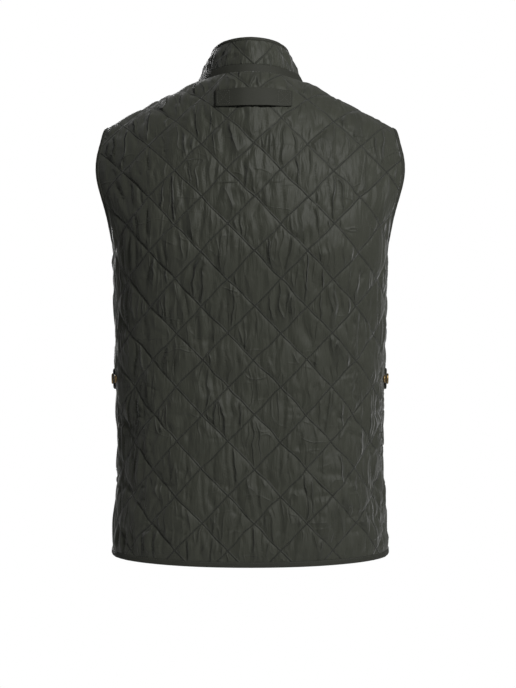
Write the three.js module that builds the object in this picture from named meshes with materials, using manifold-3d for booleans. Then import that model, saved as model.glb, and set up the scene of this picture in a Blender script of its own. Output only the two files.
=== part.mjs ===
// A diamond-quilted vest with a stand collar, hollow, in the form that it has when worn.
// The vest's own left is +X, the back faces +Y, and the origin is between the two points
// where the shoulder seams meet the neck. Sizes are in millimetres.
//
// Each panel is cut as a flat quilted sheet in its pattern's own plane: s runs across the
// cloth from the centre line, t up from the lowest point of the hem, h out of the cloth.
// The sheet is trimmed to the panel's outline and then draped over the worn form.
import * as THREE from 'three';
import { mergeVertices } from 'three/addons/utils/BufferGeometryUtils.js';
import Module from 'manifold-3d';

const wasm = await Module();
wasm.setup();

// The worn form.
const HEM_Z = -682;
const CHEST_Z = -240;
const CHEST_T = CHEST_Z - HEM_Z;
const HALF_PANEL = 262;
const HEM_RISE = 14;
const SIDES = { back: 1, front: -1 };

// Cross sections below the armholes: half width, depth to the back and to the front of
// the side seams, and how square the section is.
const SECTIONS = [
  { z: -700, wide: 198, back: 121, front: 126, power: 2.5 },
  { z: -668, wide: 196, back: 120, front: 126, power: 2.5 },
  { z: -600, wide: 191, back: 117, front: 125, power: 2.5 },
  { z: -540, wide: 187, back: 114, front: 124, power: 2.5 },
  { z: -468, wide: 188, back: 111, front: 125, power: 2.5 },
  { z: -371, wide: 190, back: 110, front: 127, power: 2.5 },
  { z: -310, wide: 192, back: 116, front: 129, power: 2.6 },
  { z: -240, wide: 194, back: 127, front: 129, power: 2.7 },
];

// The shoulder line: height at the middle of the neck, slope, and how softly it peaks.
const RIDGE_TOP = 49;
const RIDGE_SLOPE = 0.532;
const RIDGE_SOFT = 40;
// Above the armholes the cloth spreads to its full pattern width by this height.
const SPREAD_Z = -130;
const BEND = { back: 2.2, front: 1.8 };
const NECK_LIFT = { back: 34, front: 8 };
const RING_STEPS = 48;
const COLUMN_STEPS = 40;

// The open throat above the slider.
const SLIDER_Z = -158;
const THROAT = { wide: 26, tall: 80, curve: 1.35, flat: 18, fade: 150, top: -8 };

// Cloth.
const WALL = 2.2;
const PUFF = 4.6;
const GAP = 0.3;
const EDGE_TAPER = 16;
const DIAMOND = { wide: 74, tall: 76 };
const STEP_S = DIAMOND.wide / 4;
const STEP_T = DIAMOND.tall / 4;

// Trims.
const HEM_BINDING = 7;
const ARM_BINDING = 5;
const FRONT_BINDING = 5;
const COLLAR_BINDING = 3.5;
const BINDING_SKIN = 0.9;
const FRONT_EDGE = 6.5;
const FRONT_CUT = FRONT_EDGE + FRONT_BINDING + 2.5 * GAP;

// Collar.
const NECK_WIDTH = 75;
const BAND = { from: 2.8, to: 11 };
const COLLAR_HEIGHT = 52;
const COLLAR_GAP = 0.6;
// How much shorter the stand is cut at its top edge, where its ends draw together.
const COLLAR_DRAW = 3;
const COLLAR_AXIS_Y = -18;
// How nearly the collar stands square to its seam, and over what length the seam is read.
const COLLAR_SQUARE = 0.8;
const COLLAR_EASE = 16;
// How far the collar leans in, by the share of the way from centre back to centre front.
const COLLAR_LEAN = [
  { share: 0, lean: 14 },
  { share: 0.3, lean: 22 },
  { share: 0.5, lean: 27 },
  { share: 0.75, lean: 14 },
  { share: 1, lean: 2 },
];

// Outlines of the panels, at the finished edge less its binding.
const BACK_NECK = [
  { s: 60, z: 7.5 },
  { s: 40, z: 11.6 },
  { s: 18, z: 13.6 },
  { s: 0, z: 14 },
];
const FRONT_NECK = [
  { s: 71, z: -15 },
  { s: 60, z: -37 },
  { s: 43, z: -57 },
  { s: 26, z: -70 },
  { s: FRONT_CUT, z: -76 },
];
const TIP = 203;
const BACK_ARMHOLE = [
  { s: 209, z: -82 },
  { s: 214, z: -104 },
  { s: 215, z: -124 },
  { s: 212, z: -154 },
  { s: 213, z: -184 },
  { s: 220, z: -206 },
  { s: 232, z: -226 },
  { s: 247, z: -238 },
];
const FRONT_ARMHOLE = [
  { s: 201, z: -84 },
  { s: 197, z: -108 },
  { s: 195, z: -136 },
  { s: 198, z: -166 },
  { s: 206, z: -192 },
  { s: 221, z: -215 },
  { s: 238, z: -233 },
  { s: 251, z: -240 },
];
const ARMHOLE_LOW = CHEST_T - 4;

// Broad soft folds of the worn cloth: middle, direction from the vertical in degrees,
// half length, half width and height (a trough is negative).
const FOLDS = {
  back: [
    { s: 168, t: 330, turn: -52, long: 92, wide: 17, rise: 4.2 },
    { s: -150, t: 300, turn: 48, long: 84, wide: 18, rise: 4 },
    { s: 196, t: 170, turn: -16, long: 96, wide: 20, rise: -4.4 },
    { s: -186, t: 150, turn: 20, long: 104, wide: 22, rise: -4.8 },
    { s: -118, t: 92, turn: -30, long: 80, wide: 20, rise: 4.4 },
    { s: 96, t: 78, turn: 10, long: 70, wide: 24, rise: 3.4 },
    { s: 20, t: 250, turn: 74, long: 92, wide: 17, rise: -3.2 },
    { s: -30, t: 130, turn: 4, long: 90, wide: 26, rise: -3 },
  ],
  front: [
    { s: 172, t: 318, turn: -50, long: 88, wide: 17, rise: 4.2 },
    { s: -160, t: 330, turn: 46, long: 82, wide: 18, rise: 4 },
    { s: 190, t: 160, turn: -14, long: 96, wide: 22, rise: -4.4 },
    { s: -194, t: 176, turn: 18, long: 92, wide: 20, rise: -4.2 },
    { s: 98, t: 96, turn: 22, long: 74, wide: 20, rise: 3.8 },
    { s: -92, t: 84, turn: -18, long: 78, wide: 22, rise: 3.8 },
  ],
};

// Hanging strip across the upper back.
const STRIP = { s: -5, half: 52, top: -12, tall: 27, thick: 1.8, bow: 2.6, steps: 12 };

// Waist tabs over the side seams, with their press studs.
const TAB = {
  z: -419, half: 15, front: 48, back: 20, thick: 2, cap: 3, spare: 38, steps: 5, turn: 1.3,
};
const STUD = { radius: 7.5, height: 2.6, rim: 0.8 };
const SPARE_STUD = { radius: 5.5, height: 2.6, rim: 0.6 };
const STUD_SIDES = 20;

// Zip.
const TEETH = { inner: 0.15, outer: 3.2, front: 1.6, back: -1.7 };
const TAPE = { inner: 3.5, outer: 11.2, front: -0.3, back: -1.3 };
const SLIDER = { half: 5.2, tall: 15, below: 3, face: 3.6, thick: 1.5, rear: -3.8 };
const POST = { half: 0.8, low: 3 };
const ARCH = { half: 1.3, tall: 3.1, inner: 1.6, out: 4.5, hole: 3.2 };
const PULL = { half: 4.2, long: 31, thick: 1.4, bar: 0.7, slot: 2.2, slotLong: 6, lift: 1.4 };
const STOP = { half: 4.2, tall: 5, front: 2.4, back: -2 };

const COLOURS = {
  shell: { color: 0x42443c, roughness: 0.55, metalness: 0 },
  binding: { color: 0x363830, roughness: 0.7, metalness: 0 },
  tape: { color: 0x23241f, roughness: 0.85, metalness: 0 },
  teeth: { color: 0x2a2723, roughness: 0.45, metalness: 0.3 },
  brass: { color: 0x8a7346, roughness: 0.35, metalness: 1 },
};

// Slope of one column of a table at one of its rows.
function columnSlope(rows, key, name, i) {
  const before = rows[Math.max(i - 1, 0)];
  const after = rows[Math.min(i + 1, rows.length - 1)];
  return (after[name] - before[name]) / (after[key] - before[key]);
}

// Every column of a table at one value of its key, smoothly between the rows.
function readRow(rows, key, value) {
  const last = rows.length - 1;
  const at = THREE.MathUtils.clamp(value, rows[0][key], rows[last][key]);
  let i = 0;
  while (i < last - 1 && at > rows[i + 1][key]) i += 1;
  const span = rows[i + 1][key] - rows[i][key];
  const u = (at - rows[i][key]) / span;
  const row = {};
  for (const name of Object.keys(rows[0])) {
    const a = rows[i][name];
    const b = rows[i + 1][name];
    const slopeA = columnSlope(rows, key, name, i) * span;
    const slopeB = columnSlope(rows, key, name, i + 1) * span;
    const rise = b - a;
    const bendA = u * (1 - u) * (1 - u) * (slopeA - rise);
    const bendB = u * u * (1 - u) * (rise - slopeB);
    row[name] = a + u * rise + bendA + bendB;
  }
  return row;
}

// The place at one length along a row of samples { x, y, z, along }.
function walk(samples, along) {
  const last = samples.length - 1;
  let i = 0;
  while (i < last - 1 && along > samples[i + 1].along) i += 1;
  const a = samples[i];
  const b = samples[i + 1];
  const u = THREE.MathUtils.clamp((along - a.along) / (b.along - a.along), 0, 1);
  return new THREE.Vector3(a.x + u * (b.x - a.x), a.y + u * (b.y - a.y), a.z + u * (b.z - a.z));
}

// Adds to each sample its length from the first one.
function measure(samples) {
  samples[0].along = 0;
  for (let i = 1; i < samples.length; i += 1) {
    const a = samples[i - 1];
    const b = samples[i];
    b.along = a.along + Math.hypot(b.x - a.x, b.y - a.y, b.z - a.z);
  }
  return samples;
}

// A place on the cross section at one height, by its pattern distance from the centre
// line; what the section is longer or shorter than the pattern is taken up at the sides.
function ringPoint(side, across, z) {
  const row = readRow(SECTIONS, 'z', z);
  const samples = [];
  for (let k = 0; k <= RING_STEPS; k += 1) {
    const angle = (k / RING_STEPS) * (Math.PI / 2);
    const x = row.wide * Math.pow(Math.sin(angle), 2 / row.power);
    const y = SIDES[side] * row[side] * Math.pow(Math.max(Math.cos(angle), 0), 2 / row.power);
    samples.push({ x, y, z });
  }
  measure(samples);
  const share = across / HALF_PANEL;
  return walk(samples, across + (samples[RING_STEPS].along - HALF_PANEL) * share * share);
}

// Height of the shoulder line at one distance from the centre; inside the neck hole it is
// the height that the cloth would reach, which sets how upright it runs into the seam.
function ridgeHeight(side, across) {
  const inside = Math.max(0, 1 - Math.pow(across / NECK_WIDTH, 2));
  return RIDGE_TOP - RIDGE_SLOPE * Math.hypot(across, RIDGE_SOFT) + NECK_LIFT[side] * inside * inside;
}

// One line of cloth from the chest up to the shoulder line.
const columns = new Map();
function column(side, across) {
  const key = `${side} ${across.toFixed(3)}`;
  if (!columns.has(key)) {
    const low = ringPoint(side, across, CHEST_Z);
    const high = ridgeHeight(side, across);
    const samples = [];
    for (let k = 0; k <= COLUMN_STEPS; k += 1) {
      const angle = (k / COLUMN_STEPS) * (Math.PI / 2);
      const z = CHEST_Z + (high - CHEST_Z) * Math.pow(Math.sin(angle), 2 / BEND[side]);
      const y = low.y * Math.pow(Math.max(Math.cos(angle), 0), 2 / BEND[side]);
      const spread = THREE.MathUtils.smoothstep(z, CHEST_Z, SPREAD_Z);
      samples.push({ x: THREE.MathUtils.lerp(low.x, across, spread), y, z });
    }
    columns.set(key, measure(samples));
  }
  return columns.get(key);
}

// How far the throat pushes the front edge outwards at one height.
function throat(side, across, z) {
  if (side === 'back' || z <= SLIDER_Z) return 0;
  const open = Math.pow(Math.min((z - SLIDER_Z) / THROAT.tall, 1), THROAT.curve);
  const fall = 1 - THREE.MathUtils.smoothstep(across, THROAT.flat, THROAT.fade);
  const close = 1 - THREE.MathUtils.smoothstep(z, SLIDER_Z + THROAT.tall, THROAT.top);
  return THROAT.wide * open * fall * close;
}

// The worn form without its folds: the place of the pattern's point (s, t).
function formPoint(side, s, t) {
  const across = Math.min(Math.abs(s), HALF_PANEL);
  const place = t <= CHEST_T
    ? ringPoint(side, across, HEM_Z + t)
    : walk(column(side, across), t - CHEST_T);
  place.x = Math.sign(s) * (place.x + throat(side, across, place.z));
  return place;
}

// Height of the broad folds at one point of a panel.
function foldRise(side, s, t) {
  let rise = 0;
  for (const fold of FOLDS[side]) {
    const turn = THREE.MathUtils.degToRad(fold.turn);
    const ds = s - fold.s;
    const dt = t - fold.t;
    const along = (ds * Math.sin(turn) + dt * Math.cos(turn)) / fold.long;
    const aside = (ds * Math.cos(turn) - dt * Math.sin(turn)) / fold.wide;
    rise += fold.rise * Math.exp(-along * along - aside * aside);
  }
  return rise * THREE.MathUtils.smoothstep(HALF_PANEL - Math.abs(s), 0, 40);
}

// The place, outward direction and upward direction of a pattern's point.
const PROBE = 1.5;
function clothFrame(side, s, t) {
  const east = formPoint(side, Math.min(s + PROBE, HALF_PANEL), t);
  const west = formPoint(side, Math.max(s - PROBE, -HALF_PANEL), t);
  const north = formPoint(side, s, t + PROBE);
  const south = formPoint(side, s, t - PROBE);
  const across = east.sub(west).normalize();
  const up = north.sub(south).normalize();
  const out = new THREE.Vector3().crossVectors(up, across).multiplyScalar(SIDES[side]).normalize();
  const at = formPoint(side, s, t).addScaledVector(out, foldRise(side, s, t));
  return { at, across, up, out };
}

function clothPoint(side, s, t, h) {
  const frame = clothFrame(side, s, t);
  return frame.at.addScaledVector(frame.out, h);
}

// The pattern height at which a column reaches a given height above the chest.
function heightOn(side, s, z) {
  const samples = column(side, Math.abs(s));
  let i = 0;
  while (i < samples.length - 2 && z > samples[i + 1].z) i += 1;
  const a = samples[i];
  const b = samples[i + 1];
  const u = THREE.MathUtils.clamp((z - a.z) / (b.z - a.z), 0, 1);
  return CHEST_T + a.along + u * (b.along - a.along);
}

function ridgeOn(side, s) {
  const samples = column(side, Math.abs(s));
  return CHEST_T + samples[samples.length - 1].along;
}

function hemLine(s) {
  const share = s / HALF_PANEL;
  return HEM_RISE * share * share;
}

// A smooth row of pattern points through a table of { s, z } and its two ends.
function patternCurve(side, first, rows, last, steps) {
  const points = rows.map((row) => new THREE.Vector2(row.s, heightOn(side, row.s, row.z)));
  const all = [first, ...points, last].filter((point) => point !== null);
  return new THREE.SplineCurve(all).getPoints(steps);
}

const ARM_STEPS = 26;
const NECK_STEPS = 12;
const HEM_STEPS = 14;
const EDGE_STEPS = 32;
const COLLAR_STEPS = 40;
const SEAM = GAP / 2;

// The half neckline and half armhole of a panel, from the shoulder seam downwards.
function neckCurve(side) {
  const start = new THREE.Vector2(NECK_WIDTH, ridgeOn(side, NECK_WIDTH) - SEAM);
  return patternCurve(side, start, side === 'back' ? BACK_NECK : FRONT_NECK, null, NECK_STEPS);
}

function armCurve(side) {
  const start = new THREE.Vector2(TIP, ridgeOn(side, TIP) - SEAM);
  const end = new THREE.Vector2(HALF_PANEL - SEAM, ARMHOLE_LOW);
  const rows = side === 'back' ? BACK_ARMHOLE : FRONT_ARMHOLE;
  return patternCurve(side, start, rows, end, ARM_STEPS);
}

// The shoulder seam, from the neck to the tip.
function shoulderCurve(side) {
  const points = [];
  for (let k = 1; k < 6; k += 1) {
    const s = THREE.MathUtils.lerp(NECK_WIDTH, TIP, k / 6);
    points.push(new THREE.Vector2(s, ridgeOn(side, s) - SEAM));
  }
  return points;
}

// Points of the cut hem, from one distance off the centre line to the side seam.
function hemCurve(from, to) {
  const stations = [from];
  for (let k = 1; k < HEM_STEPS; k += 1) {
    stations.push((HALF_PANEL * k) / HEM_STEPS);
  }
  stations.push(to);
  return stations.map((s) => new THREE.Vector2(s, hemLine(s) + HEM_BINDING + GAP));
}

// Heights along a front edge, from the hem to the neck.
function edgeHeights() {
  const low = hemLine(0) + HEM_BINDING + GAP;
  const high = heightOn('front', FRONT_CUT, FRONT_NECK[FRONT_NECK.length - 1].z);
  return Array.from({ length: EDGE_STEPS + 1 }, (_, k) => THREE.MathUtils.lerp(low, high, k / EDGE_STEPS));
}

// The left half outline of a panel, from the hem's middle up to the neck's middle.
function halfOutline(side, inner) {
  return [
    ...hemCurve(inner, HALF_PANEL - SEAM),
    ...armCurve(side).reverse(),
    ...shoulderCurve(side).reverse(),
    ...neckCurve(side),
  ];
}

function frontOutlinePoints() {
  const edge = edgeHeights().slice(1, -1).reverse();
  return [...halfOutline('front', FRONT_CUT), ...edge.map((t) => new THREE.Vector2(FRONT_CUT, t))];
}

function mirrored(points) {
  return points.map((point) => new THREE.Vector2(-point.x, point.y)).reverse();
}

const BACK_OUTLINE = [...halfOutline('back', 0), ...mirrored(halfOutline('back', 0)).slice(1, -1)];
const LEFT_OUTLINE = frontOutlinePoints();
const RIGHT_OUTLINE = mirrored(LEFT_OUTLINE);

// Height of the quilting at a point of its quarter-diamond lattice: nothing on a stitch
// line, all of it in a diamond's middle.
function puffShare(i, j) {
  const rising = ((i - j) % 4 + 4) % 4;
  const falling = ((i + j) % 4 + 4) % 4;
  if (rising === 0 || falling === 0) return 0;
  return rising === 2 && falling === 2 ? 1 : 0.72;
}

// A flat rectangular quilted sheet that covers an outline: the face is raised on the
// quarter-diamond lattice, the inside is plain, on every other point of it.
function quiltedSheet(outline, origin) {
  const box = new THREE.Box2().setFromPoints(outline);
  const even = (value) => 2 * Math.floor(value / 2);
  const i0 = even((box.min.x - origin.s) / STEP_S) - 2;
  const j0 = even((box.min.y - origin.t) / STEP_T) - 2;
  const wide = even((box.max.x - origin.s) / STEP_S) + 4 - i0;
  const tall = even((box.max.y - origin.t) / STEP_T) + 4 - j0;
  const vertices = [];
  const triangles = [];
  const face = (i, j) => j * (wide + 1) + i;
  for (let j = 0; j <= tall; j += 1) {
    for (let i = 0; i <= wide; i += 1) {
      const h = WALL + PUFF * puffShare(i0 + i, j0 + j);
      vertices.push(origin.s + (i0 + i) * STEP_S, origin.t + (j0 + j) * STEP_T, h);
    }
  }
  const insideStart = (wide + 1) * (tall + 1);
  const insideWide = wide / 2;
  const insideTall = tall / 2;
  const inside = (i, j) => insideStart + j * (insideWide + 1) + i;
  for (let j = 0; j <= insideTall; j += 1) {
    for (let i = 0; i <= insideWide; i += 1) {
      vertices.push(origin.s + (i0 + 2 * i) * STEP_S, origin.t + (j0 + 2 * j) * STEP_T, 0);
    }
  }
  for (let j = 0; j < tall; j += 1) {
    for (let i = 0; i < wide; i += 1) {
      const a = face(i, j);
      const b = face(i + 1, j);
      const c = face(i + 1, j + 1);
      const d = face(i, j + 1);
      const onRise = ((i0 + i - j0 - j) % 4 + 4) % 4;
      const towardsMiddle = onRise === 0 || (onRise % 2 === 0 && puffShare(i0 + i, j0 + j) > 0);
      if (towardsMiddle || (onRise !== 0 && onRise % 2 === 0)) triangles.push(a, b, c, a, c, d);
      else triangles.push(a, b, d, b, c, d);
    }
  }
  for (let j = 0; j < insideTall; j += 1) {
    for (let i = 0; i < insideWide; i += 1) {
      triangles.push(inside(i, j), inside(i + 1, j + 1), inside(i + 1, j));
      triangles.push(inside(i, j), inside(i, j + 1), inside(i + 1, j + 1));
    }
  }
  const rim = (low0, low1, top0, top1, top2) => {
    triangles.push(low0, top1, top0, low0, low1, top1, low1, top2, top1);
  };
  for (let i = 0; i < insideWide; i += 1) {
    rim(inside(i, 0), inside(i + 1, 0), face(2 * i, 0), face(2 * i + 1, 0), face(2 * i + 2, 0));
    const far = insideWide - i;
    rim(inside(far, insideTall), inside(far - 1, insideTall),
      face(2 * far, tall), face(2 * far - 1, tall), face(2 * far - 2, tall));
  }
  for (let j = 0; j < insideTall; j += 1) {
    rim(inside(insideWide, j), inside(insideWide, j + 1),
      face(wide, 2 * j), face(wide, 2 * j + 1), face(wide, 2 * j + 2));
    const far = insideTall - j;
    rim(inside(0, far), inside(0, far - 1),
      face(0, 2 * far), face(0, 2 * far - 1), face(0, 2 * far - 2));
  }
  return solid(vertices, triangles);
}

// A solid whose triangles keep their edges when it is cut.
function solid(vertices, triangles) {
  const faceID = Uint32Array.from({ length: triangles.length / 3 }, (_, k) => k);
  return new wasm.Manifold(new wasm.Mesh({
    numProp: 3,
    vertProperties: Float32Array.from(vertices),
    triVerts: Uint32Array.from(triangles),
    faceID,
  }));
}

function solidOf(geometry) {
  const bare = geometry.clone();
  bare.deleteAttribute('normal');
  bare.deleteAttribute('uv');
  const merged = mergeVertices(bare, 1e-4);
  return solid(merged.attributes.position.array, merged.index.array);
}

function geometryOf(vertices, triangles) {
  const geometry = new THREE.BufferGeometry();
  geometry.setAttribute('position', new THREE.Float32BufferAttribute(vertices, 3));
  geometry.setIndex(Array.from(triangles));
  geometry.computeVertexNormals();
  return geometry;
}

// Distance from a pattern point to an outline.
function edgeDistance(outline, s, t) {
  let nearest = Infinity;
  for (let k = 0; k < outline.length; k += 1) {
    const a = outline[k];
    const b = outline[(k + 1) % outline.length];
    const ds = b.x - a.x;
    const dt = b.y - a.y;
    const share = ((s - a.x) * ds + (t - a.y) * dt) / (ds * ds + dt * dt);
    const u = THREE.MathUtils.clamp(share, 0, 1);
    nearest = Math.min(nearest, Math.hypot(s - a.x - u * ds, t - a.y - u * dt));
  }
  return nearest;
}

// A quilted panel: its sheet, trimmed to the outline, thinned towards the edges and laid
// on the form by the given function of (s, t, h).
function quiltedPanel(outline, origin, place, flip) {
  const shape = new THREE.Shape(outline);
  const prism = new THREE.ExtrudeGeometry(shape, { depth: 40, bevelEnabled: false });
  prism.translate(0, 0, -20);
  const cut = quiltedSheet(outline, origin).intersect(solidOf(prism)).getMesh();
  const vertices = [];
  for (let k = 0; k < cut.numVert; k += 1) {
    const [s, t, h] = cut.vertProperties.slice(k * cut.numProp, k * cut.numProp + 3);
    const taper = THREE.MathUtils.smoothstep(edgeDistance(outline, s, t), -1, EDGE_TAPER);
    const height = h > WALL ? WALL + (h - WALL) * taper : h;
    vertices.push(...place(s, t, height).toArray());
  }
  const triangles = Array.from(cut.triVerts);
  if (flip) triangles.reverse();
  return geometryOf(vertices, triangles);
}

// A closed strip: one outline of [across, out] carried along a row of places, each of
// which may narrow it or lift it.
function ribbon(places, outline, closed) {
  const vertices = [];
  for (const place of places) {
    const { narrow = 1, lift = 0 } = place;
    for (const [across, out] of outline) {
      const point = place.at.clone();
      point.addScaledVector(place.across, narrow * across).addScaledVector(place.out, lift + out);
      vertices.push(...point.toArray());
    }
  }
  const n = outline.length;
  const triangles = [];
  const last = closed ? places.length : places.length - 1;
  for (let k = 0; k < last; k += 1) {
    const here = k * n;
    const next = ((k + 1) % places.length) * n;
    for (let i = 0; i < n; i += 1) {
      const j = (i + 1) % n;
      triangles.push(here + i, here + j, next + j, here + i, next + j, next + i);
    }
  }
  if (!closed) {
    const end = (places.length - 1) * n;
    for (let i = 1; i < n - 1; i += 1) {
      triangles.push(0, i + 1, i, end, end + i, end + i + 1);
    }
  }
  if (volumeOf(vertices, triangles) < 0) triangles.reverse();
  return geometryOf(vertices, triangles);
}

function volumeOf(vertices, triangles) {
  const corner = (k) => new THREE.Vector3().fromArray(vertices, 3 * k);
  let sum = 0;
  for (let k = 0; k < triangles.length; k += 3) {
    const a = corner(triangles[k]);
    const b = corner(triangles[k + 1]);
    const c = corner(triangles[k + 2]);
    sum += a.dot(b.cross(c)) / 6;
  }
  return sum;
}

const vest = new THREE.Group();

function finish(look) {
  return new THREE.MeshStandardMaterial(COLOURS[look]);
}

function add(name, geometry, look, parent = vest) {
  const mesh = new THREE.Mesh(geometry, finish(look));
  mesh.name = name;
  parent.add(mesh);
  return mesh;
}

// Section of a binding folded over an edge, from the cut edge outwards.
function bindingOutline(width, inside) {
  const top = WALL + BINDING_SKIN;
  const soft = 1.1;
  return [
    [GAP, inside],
    [width - soft, inside],
    [width, inside + soft],
    [width, top - soft],
    [width - soft, top],
    [GAP, top],
  ];
}

// A place on a panel's cut edge, with the in-cloth direction that points off the panel.
function edgePlace(side, point, away) {
  const frame = clothFrame(side, point.x, point.y);
  const across = new THREE.Vector3();
  across.addScaledVector(frame.across, away.x).addScaledVector(frame.up, away.y);
  return { at: frame.at, across: across.normalize(), out: frame.out };
}

// The places along a row of pattern points whose panel lies on the left of the way.
function edgePlaces(side, points) {
  return points.map((point, k) => {
    const before = points[Math.max(k - 1, 0)];
    const after = points[Math.min(k + 1, points.length - 1)];
    const way = after.clone().sub(before).normalize();
    return edgePlace(side, point, new THREE.Vector2(way.y, -way.x));
  });
}

function blended(a, b) {
  return {
    at: a.at.clone().lerp(b.at, 0.5),
    across: a.across.clone().add(b.across).normalize(),
    out: a.out.clone().add(b.out).normalize(),
  };
}

// Joins two rows of places that meet at one place.
function joined(first, second) {
  const meeting = blended(first[first.length - 1], second[0]);
  return [...first.slice(0, -1), meeting, ...second.slice(1)];
}

function mirrorPlaces(places) {
  const turn = (v) => new THREE.Vector3(-v.x, v.y, v.z);
  return places.map((place) => ({
    at: turn(place.at),
    across: turn(place.across),
    out: turn(place.out),
  }));
}

// Hem binding, from the left front edge round the back to the right front edge.
function hemPlaces() {
  const below = new THREE.Vector2(0, -1);
  const row = (side, from) => hemCurve(from, HALF_PANEL).map((point) => edgePlace(side, point, below));
  const left = row('front', FRONT_EDGE);
  const back = row('back', 0).reverse();
  const half = joined(left, back);
  return [...half, ...mirrorPlaces(half).reverse().slice(1)];
}

function armPlaces() {
  const down = armCurve('back').reverse();
  const up = armCurve('front');
  const backRow = edgePlaces('back', down).reverse();
  const frontRow = edgePlaces('front', [...up].reverse()).reverse();
  frontRow.reverse();
  const loop = joined(backRow, frontRow);
  const meeting = blended(loop[loop.length - 1], loop[0]);
  return [meeting, ...loop.slice(1, -1)];
}

// The neck seam, from centre back round the left side to the front edge, with its
// length from centre back at each sample.
function neckSamples() {
  const back = neckCurve('back').reverse();
  const front = neckCurve('front');
  const samples = [];
  for (const point of back) samples.push(clothPoint('back', point.x, point.y, 0));
  for (const point of front.slice(1)) samples.push(clothPoint('front', point.x, point.y, 0));
  const edge = heightOn('front', FRONT_EDGE, FRONT_NECK[FRONT_NECK.length - 1].z);
  samples.push(clothPoint('front', FRONT_EDGE, edge, 0));
  return measure(samples.map((point) => ({ x: point.x, y: point.y, z: point.z })));
}

const NECK = neckSamples();
const NECK_HALF = NECK[NECK.length - 1].along;

// The neck seam by its signed length from centre back.
function neckPoint(u) {
  const point = walk(NECK, Math.min(Math.abs(u), NECK_HALF));
  if (u < 0) point.x = -point.x;
  return point;
}

// The worn collar: u runs round the neck seam from centre back, v up the collar.
function collarForm(u, v) {
  const along = Math.min(Math.abs(u), NECK_HALF);
  const foot = neckPoint(along);
  const inward = new THREE.Vector3(-foot.x, COLLAR_AXIS_Y - foot.y, 0).normalize();
  const { lean } = readRow(COLLAR_LEAN, 'share', along / NECK_HALF);
  const angle = THREE.MathUtils.degToRad(lean);
  const rise = inward.multiplyScalar(Math.sin(angle));
  rise.z += Math.cos(angle);
  const seam = neckPoint(along + COLLAR_EASE).sub(neckPoint(along - COLLAR_EASE)).normalize();
  rise.addScaledVector(seam, -COLLAR_SQUARE * rise.dot(seam)).normalize();
  foot.addScaledVector(rise, v);
  if (u < 0) foot.x = -foot.x;
  return foot;
}

function collarFrame(u, v) {
  const probe = 4;
  const east = collarForm(Math.min(u + probe, NECK_HALF), v);
  const west = collarForm(Math.max(u - probe, -NECK_HALF), v);
  const north = collarForm(u, v + probe);
  const south = collarForm(u, v - probe);
  const across = east.sub(west).normalize();
  const up = north.sub(south).normalize();
  const out = new THREE.Vector3().crossVectors(up, across).normalize();
  return { at: collarForm(u, v), across, up, out };
}

function collarPoint(u, v, h) {
  const frame = collarFrame(u, v);
  return frame.at.addScaledVector(frame.out, h);
}

// Distances round the collar, the same on each of its pieces but for the two ends.
function collarStations(half) {
  const inner = [];
  for (let k = 1; k < COLLAR_STEPS; k += 1) {
    inner.push(THREE.MathUtils.lerp(-COLLAR_INNER, COLLAR_INNER, k / COLLAR_STEPS));
  }
  return [-half, ...inner, half];
}

function collarRow(v, half) {
  return collarStations(half).map((u) => {
    const frame = collarFrame(u, v);
    return { at: frame.at, across: frame.up, out: frame.out };
  });
}

// Panels.
const BACK_ORIGIN = { s: -6, t: 62 };
const FRONT_ORIGIN = { s: FRONT_CUT + DIAMOND.wide / 2, t: 62 };
const onBack = (s, t, h) => clothPoint('back', s, t, h);
const onFront = (s, t, h) => clothPoint('front', s, t, h);
const back = add('back', quiltedPanel(BACK_OUTLINE, BACK_ORIGIN, onBack, true), 'shell');
const leftPanel = quiltedPanel(LEFT_OUTLINE, FRONT_ORIGIN, onFront, false);
const frontLeft = add('front_left', leftPanel, 'shell');
const RIGHT_ORIGIN = { s: -FRONT_ORIGIN.s, t: FRONT_ORIGIN.t };
const rightPanel = quiltedPanel(RIGHT_OUTLINE, RIGHT_ORIGIN, onFront, false);
const frontRight = add('front_right', rightPanel, 'shell');

// Bindings of the hem and the armholes.
add('hem_binding', ribbon(hemPlaces(), bindingOutline(HEM_BINDING, -0.8), false), 'binding');
const armLoop = armPlaces();
const armOutline = bindingOutline(ARM_BINDING, -0.8);
add('armhole_binding_left', ribbon(armLoop, armOutline, true), 'binding');
add('armhole_binding_right', ribbon(mirrorPlaces(armLoop), armOutline, true), 'binding');

// Collar: the plain band on the neck seam, the quilted stand and its binding.
const COLLAR_INNER = NECK_HALF - FRONT_BINDING - 4 * COLLAR_GAP;
const COLLAR_TOP = COLLAR_HEIGHT - COLLAR_BINDING;
const bandOutline = [
  [0, 0],
  [BAND.to - BAND.from, 0],
  [BAND.to - BAND.from, WALL],
  [0, WALL],
];
add('neck_band', ribbon(collarRow(BAND.from, COLLAR_INNER), bandOutline, false), 'shell');
function collarOutline() {
  const low = collarStations(COLLAR_INNER).map((u) => new THREE.Vector2(u, BAND.to + COLLAR_GAP));
  const drawn = COLLAR_INNER - COLLAR_DRAW;
  const high = collarStations(drawn).map((u) => new THREE.Vector2(u, COLLAR_TOP - COLLAR_GAP));
  return [...low, ...high.reverse()];
}
const COLLAR_ORIGIN = { s: -6, t: BAND.to };
add('collar', quiltedPanel(collarOutline(), COLLAR_ORIGIN, collarPoint, true), 'shell');
const collarEdge = bindingOutline(COLLAR_BINDING, 0);
add('collar_binding', ribbon(collarRow(COLLAR_TOP, NECK_HALF), collarEdge, false), 'binding');

// The places up one front edge, from the hem to the top of the collar.
function frontEdge() {
  const heights = edgeHeights();
  heights[0] += GAP;
  const places = heights.map((t) => {
    const frame = clothFrame('front', FRONT_EDGE, t);
    return { at: frame.at, across: frame.across, out: frame.out };
  });
  for (const v of [BAND.from + 3, BAND.to, COLLAR_TOP * 0.4, COLLAR_TOP * 0.7, COLLAR_TOP - GAP]) {
    const frame = collarFrame(NECK_HALF, v);
    places.push({ at: frame.at, across: frame.across.negate(), out: frame.out });
  }
  return places;
}

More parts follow.
